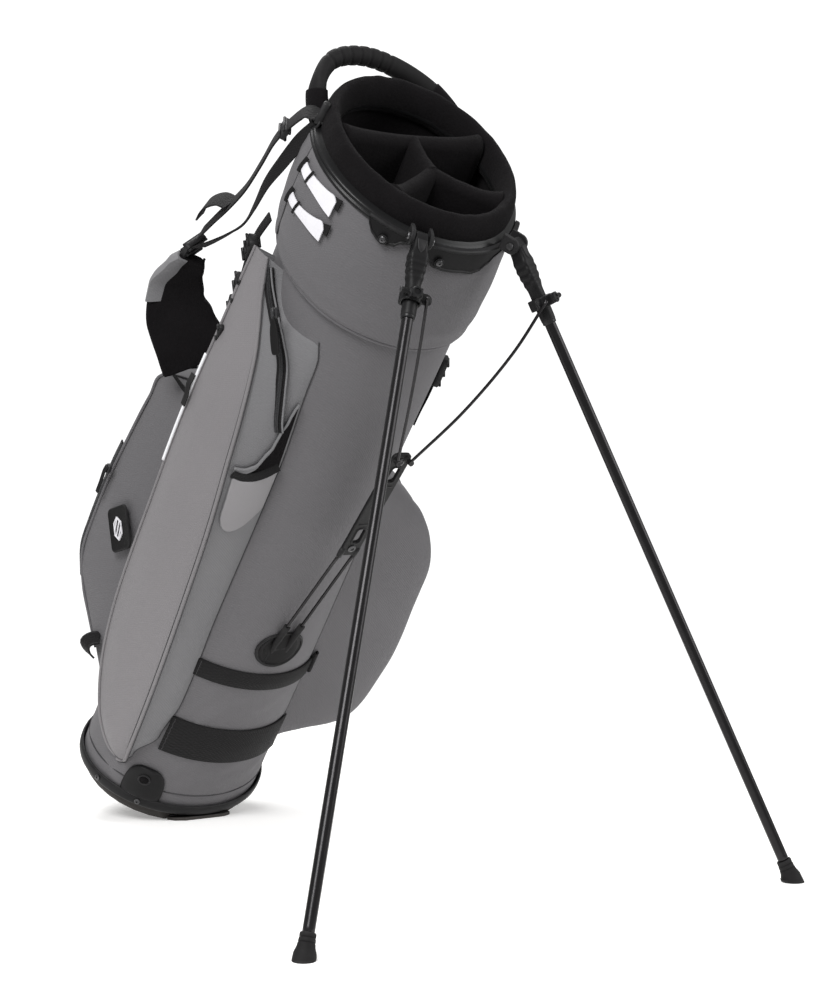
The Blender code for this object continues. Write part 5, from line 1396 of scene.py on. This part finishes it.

# ---------------------------------------------------------------- vinyl tags
# Two white vinyl tags are threaded through slots in the cuff.  Each widens to a cut end and is
# crossed by a black keeper; a black strip under the upper half of the cut end is a painted shadow of it.
TAG_ANGLE, TAG_SWEEP = -103, 32   # where the tags start round the cuff, and how far they run
TAGS = [                         # name, node, start low/high, end low/high
    ("high_tag", "upper_tag", 0.8105, 0.8220, 0.8085, 0.8310),
    ("low_tag", "lower_tag", 0.7740, 0.7855, 0.7790, 0.8020),
]
for name, node, low_start, high_start, low_end, high_end in TAGS:
    # the second pass lays a black strip, 2.6 degrees longer, under the upper half of each tag's cut end: a
    # painted shadow of the end
    for part, ahead_by, lift, material in (("", 0.0, 0.0, WHITE_VINYL),
                                           ("_painted_shadow_strip", 2.6, -0.0009, WEBBING)):
        rings = []
        for k in range(33):
            t = k / 32
            if part and t < 0.5:
                continue
            angle = TAG_ANGLE + (TAG_SWEEP + ahead_by) * t
            spread = max(0.0, (t - 0.30) / 0.70)
            low = low_start + (low_end - low_start) * t
            high = high_start + (high_end - high_start) * spread ** 1.7
            if not part:
                high -= (high_end - high_start) * 0.55 * max(0.0, (t - 0.88) / 0.12) ** 2
            else:
                low += 0.0100
            curl = 0.0016 + lift + 0.0024 * max(0.0, (t - 0.6) / 0.4) ** 2 + 0.0006 * math.sin(t * 9)
            rings.append([cuff_at(angle, low, curl), cuff_at(angle, low, curl + 0.0013),
                          cuff_at(angle, 0.5 * (low + high), curl + 0.0019),
                          cuff_at(angle, high, curl + 0.0013), cuff_at(angle, high, curl)])
        tag = piece(name + part, skin(rings), material,
                    crease=50)
        if not part:
            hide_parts(node)
    for place_name, at, half in (("slot", 0.0, 0.0100), ("keeper", 0.30, 0.0085)):
        middle = 0.5 * (low_start + high_start) + (0.0015 if at else 0.0)
        keeper = [cuff_at(TAG_ANGLE + TAG_SWEEP * at + 2.0 * k / 16, middle - half + 2 * half * k / 16,
                          0.0036 + 0.0010 * math.sin(math.pi * k / 16)) for k in range(17)]
        section = oval(0.0016 if at else 0.0026, 0.0008, 12)
        piece(name + "_" + place_name, sweep(keeper, section, (0.4, -0.9, 0)), WEBBING)

# ---------------------------------------------------------------- shoulder straps
# Two runs of black webbing drop from a ring behind the mouth to a ladder lock, which holds a
# padded strap.  The strap curves down and passes behind the ball pocket.


def strap(name, node, points, widths, across, thick=0.0020):
    """Webbing along a path; widths are (share, wide) rows, across may be one direction or two."""
    run = evenly(spline(points, 14), 0.003)
    first, last = Vector(across[0]), Vector(across[-1])
    rings = []
    edges = ([], [])
    for k, point in enumerate(run):
        share = k / (len(run) - 1)
        direction = (run[min(k + 1, len(run) - 1)] - run[max(k - 1, 0)]).normalized()
        wide = first.lerp(last, share)
        wide = (wide - wide.dot(direction) * direction).normalized()
        out = direction.cross(wide)
        width = between(widths, share)[0]
        rings.append([point + wide * a + out * b for a, b in rounded(width, thick, 0.0008, 3)])
        for edge, end in zip(edges, (-1, 1)):
            edge.append(point + wide * width * 0.40 * end + out * (thick * 0.5 + 0.0001))
    made = piece(name, skin(rings), WEBBING, crease=50)
    if node:
        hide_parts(node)
    for edge, end in zip(edges, ("left", "right")):
        piece(name + "_" + end + "_stitch", cord(edge, 0.0003, 6), SEAM_DARK)


FACING = (0.79, -0.50, 0.34)     # across the straps, square to their fall
LONG_RUN = [(-0.098, 0.0620, 0.8600), (-0.102, 0.0787, 0.8548), (-0.106, 0.0912, 0.8351),
            (-0.110, 0.1015, 0.8086), (-0.113, 0.1053, 0.7771), (-0.116, 0.1111, 0.7435),
            (-0.119, 0.1216, 0.7154), (-0.122, 0.1349, 0.6878), (-0.124, 0.1480, 0.6600)]
strap("long_webbing", "upper_webbing", LONG_RUN,
      [(0, 0.0225), (0.6, 0.0210), (0.82, 0.0250), (1.0, 0.0260)], [(0.45, 0.80, 0.10), (0.60, 0.60, 0.30)])
SHORT_RUN = [(-0.102, 0.0535, 0.8500), (-0.104, 0.0699, 0.8223), (-0.108, 0.0801, 0.7896),
             (-0.111, 0.0873, 0.7622), (-0.114, 0.0886, 0.7325), (-0.116, 0.0933, 0.7079),
             (-0.119, 0.1078, 0.6859), (-0.122, 0.1275, 0.6620), (-0.124, 0.1430, 0.6450)]
strap("short_webbing", "second_webbing", SHORT_RUN,
      [(0, 0.0200), (1.0, 0.0220)], [(-0.2, 0.9, -0.2), (0.75, 0.25, -0.10)], 0.0018)
# the end of the long webbing is folded back and left hanging behind the lock
strap("webbing_tail", None, [(-0.1190, 0.1216, 0.7154), (-0.1200, 0.1420, 0.7080), (-0.1210, 0.1600, 0.6900),
                             (-0.1215, 0.1640, 0.6700)], [(0, 0.0230), (1.0, 0.0240)], [(0.6, 0.5, 0.3)])


def buckle_slab(name, node, at, size, wide, high, corner=0.0022, bars=0):
    """A moulded buckle: a rounded slab with raised bars where webbing threads through."""
    wide, high = Vector(wide).normalized(), Vector(high).normalized()
    high = (high - high.dot(wide) * wide).normalized()
    out = wide.cross(high).normalized()
    outline = rounded(size[0], size[1], corner, 5)
    half = size[2] / 2
    places = [(Vector(at) + out * o, wide, high, k)
              for o, k in ((-half, 0.90), (-half * 0.7, 1.0), (half * 0.7, 1.0), (half, 0.90))]
    block(name, node, outline, places, MOULDED, crease=50)
    for k in range(bars):
        rise = size[1] * (-0.36 + 0.72 * k / max(1, bars - 1))
        for face in (-1, 1):
            ends = [Vector(at) + high * rise + wide * size[0] * a + out * face * (half + 0.0006)
                    for a in (-0.46, 0, 0.46)]
            piece(name + "_bar_" + str(k + 1) + ("_back" if face < 0 else ""), cord(ends, 0.0016, 10),
                  MOULDED)


buckle_slab("webbing_slider", "strap_slider", (-0.1075, 0.0960, 0.8240), (0.0300, 0.0130, 0.0060),
            (0.45, 0.80, 0.10), (0, -0.45, 1), 0.0030, 2)
buckle_slab("ladder_buckle", "ladder_lock", (-0.1245, 0.1520, 0.6400), (0.0310, 0.0260, 0.0075),
            (0.72, 0.30, 0.30), (0.0, -0.30, 1.0), 0.0045, 3)
buckle_slab("ring_anchor", "strap_anchor", (-0.0980, 0.0580, 0.8660), (0.0170, 0.0260, 0.0080),
            (0.55, 0.60, -0.30), (0.3, 0.2, 1), 0.0040, 1)
RING_AT = Vector((-0.1010, 0.0600, 0.8545))
ring_wide = Vector((0.30, 0.75, -0.10)).normalized()
ring_high = Vector((0.2, -0.1, 0.9)).normalized()
ring_turn = [2 * math.pi * k / 32 for k in range(34)]
ring_line = [RING_AT + ring_wide * 0.0125 * math.cos(t) + ring_high * 0.0075 * math.sin(t)
             for t in ring_turn]
piece("strap_ring", cord(ring_line, 0.0016, 10), MOULDED)
strap("ridge_webbing", None, [(-0.104, 0.0700, 0.7320), (-0.109, 0.0730, 0.7050), (-0.112, 0.0700, 0.6810),
                              (-0.114, 0.0650, 0.6625), (-0.117, 0.0580, 0.6450), (-0.121, 0.0530, 0.6280)],
      [(0, 0.0170), (1.0, 0.0150)], [(0.35, 0.90, 0.20)])
buckle_slab("rear_catch", "rear_buckle", (-0.1130, 0.0700, 0.6920), (0.0190, 0.0300, 0.0120),
            (0.3, 0.9, 0.25), (-0.1, 0.12, 1), 0.0055, 3)
buckle_slab("rear_keeper", None, (-0.1180, 0.0600, 0.6540), (0.0180, 0.0200, 0.0100), (0.3, 0.9, 0.25),
            (-0.1, 0.20, 1), 0.0045, 2)
buckle_slab("rear_hook", None, (-0.1225, 0.0540, 0.6330), (0.0110, 0.0160, 0.0080), (0.3, 0.9, 0.25),
            (-0.1, 0.25, 1), 0.0035, 1)
buckle_slab("pocket_hook", None, (-0.1320, 0.0430, 0.6000), (0.0080, 0.0210, 0.0060), (0.3, 0.9, 0.25),
            (-0.1, 0.25, 1), 0.0030, 2)
buckle_slab("side_catch", "side_buckle", (0.0950, -0.0590, 0.6235), (0.0200, 0.0360, 0.0080),
            (0.55, 0.84, 0), (0, 0, 1), 0.0050, 3)
side_web = [on_tube(58, z, out) for z, out in ((0.6200, 0.0030), (0.6000, 0.0030), (0.5800, 0.0022),
                                               (0.5600, 0.0020))]
piece("side_webbing", sweep(spline(side_web, 6), rounded(0.0180, 0.0018, 0.0007, 3), (0.55, 0.84, 0)),
      WEBBING, crease=50)

# ---------------------------------------------------------------- padded strap
# The pad is foam between grey cloth and black mesh, bound along its edges.  It hangs from the
# ladder lock, bows away from the bag and tucks in behind the ball pocket.
PAD_PATH = [(-0.1240, 0.1450, 0.6300), (-0.1240, 0.1520, 0.6080), (-0.1220, 0.1560, 0.5850),
            (-0.1190, 0.1500, 0.5650), (-0.1140, 0.1330, 0.5480), (-0.1060, 0.1120, 0.5330),
            (-0.0960, 0.0980, 0.5160)]
PAD_WIDTH = [(0, 0.0300), (0.12, 0.0420), (0.35, 0.0600), (0.60, 0.0760), (1.0, 0.0860)]
PAD_THICK = 0.0130
pad_run = evenly(spline(PAD_PATH, 14), 0.003)


def pad_frame(k):
    direction = (pad_run[min(k + 1, len(pad_run) - 1)] - pad_run[max(k - 1, 0)]).normalized()
    wide = Vector(FACING)
    wide = (wide - wide.dot(direction) * direction).normalized()
    return wide, direction.cross(wide)


pad_rings, cover_rings, bindings = [], [], ([], [])
for k, point in enumerate(pad_run):
    share = k / (len(pad_run) - 1)
    wide, out = pad_frame(k)
    width = between(PAD_WIDTH, share)[0]
    ring = []
    for a, b in rounded(width, PAD_THICK, 0.0060, 6):
        cup = -0.10 * width * (1 - (2 * a / width) ** 2)
        quilt = 0.0006 * math.cos(share * 30) * (1 if b < 0 else 0)
        ring.append(point + wide * a + out * (b + cup + quilt))
    pad_rings.append(ring)
    if 0.02 < share < 0.46:
        # the cover laps round one edge of the pad and part of the way across each face
        brink = -width * 0.5
        reach = brink + 0.34 * width
        lap = [(brink + 0.0060, -0.0070 - 0.02 * width), (brink - 0.0006, -0.0066), (brink - 0.0022, 0.0),
               (brink - 0.0010, 0.0072), (brink + 0.0060, 0.0086 - 0.02 * width),
               (reach, 0.0090 - 0.10 * width), (reach, 0.0070 - 0.10 * width), (brink + 0.0060, 0.0040),
               (brink + 0.0020, 0.0), (brink + 0.0060, -0.0050)]
        cover_rings.append([point + wide * a + out * b for a, b in lap])
    for edge, end in zip(bindings, (-1, 1)):
        edge.append(point + wide * (width * 0.5 - 0.0015) * end - out * 0.0052)
pad = smoothed(piece("padded_strap", skin(pad_rings), FLEECE))
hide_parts("shoulder_pad")
piece("pad_cover", skin(cover_rings), GUSSET_CLOTH, crease=60)
for edge, end in zip(bindings, ("left", "right")):
    piece("pad_binding_" + end, cord(edge, 0.0016, 10), WEBBING)

# ---------------------------------------------------------------- corner tab
# A short tab of black webbing, folded into a loop, is sewn into the ball pocket's lower left
# corner.  A towel or a rain cover clips to it.
strap("corner_tab", None, [(-0.0930, 0.0960, 0.1250), (-0.1010, 0.1020, 0.1180), (-0.1050, 0.1030, 0.1100),
                           (-0.1010, 0.1000, 0.1020), (-0.0930, 0.0930, 0.0960)],
      [(0, 0.0200), (1.0, 0.0200)], [(0.1, -0.9, 0.1)])
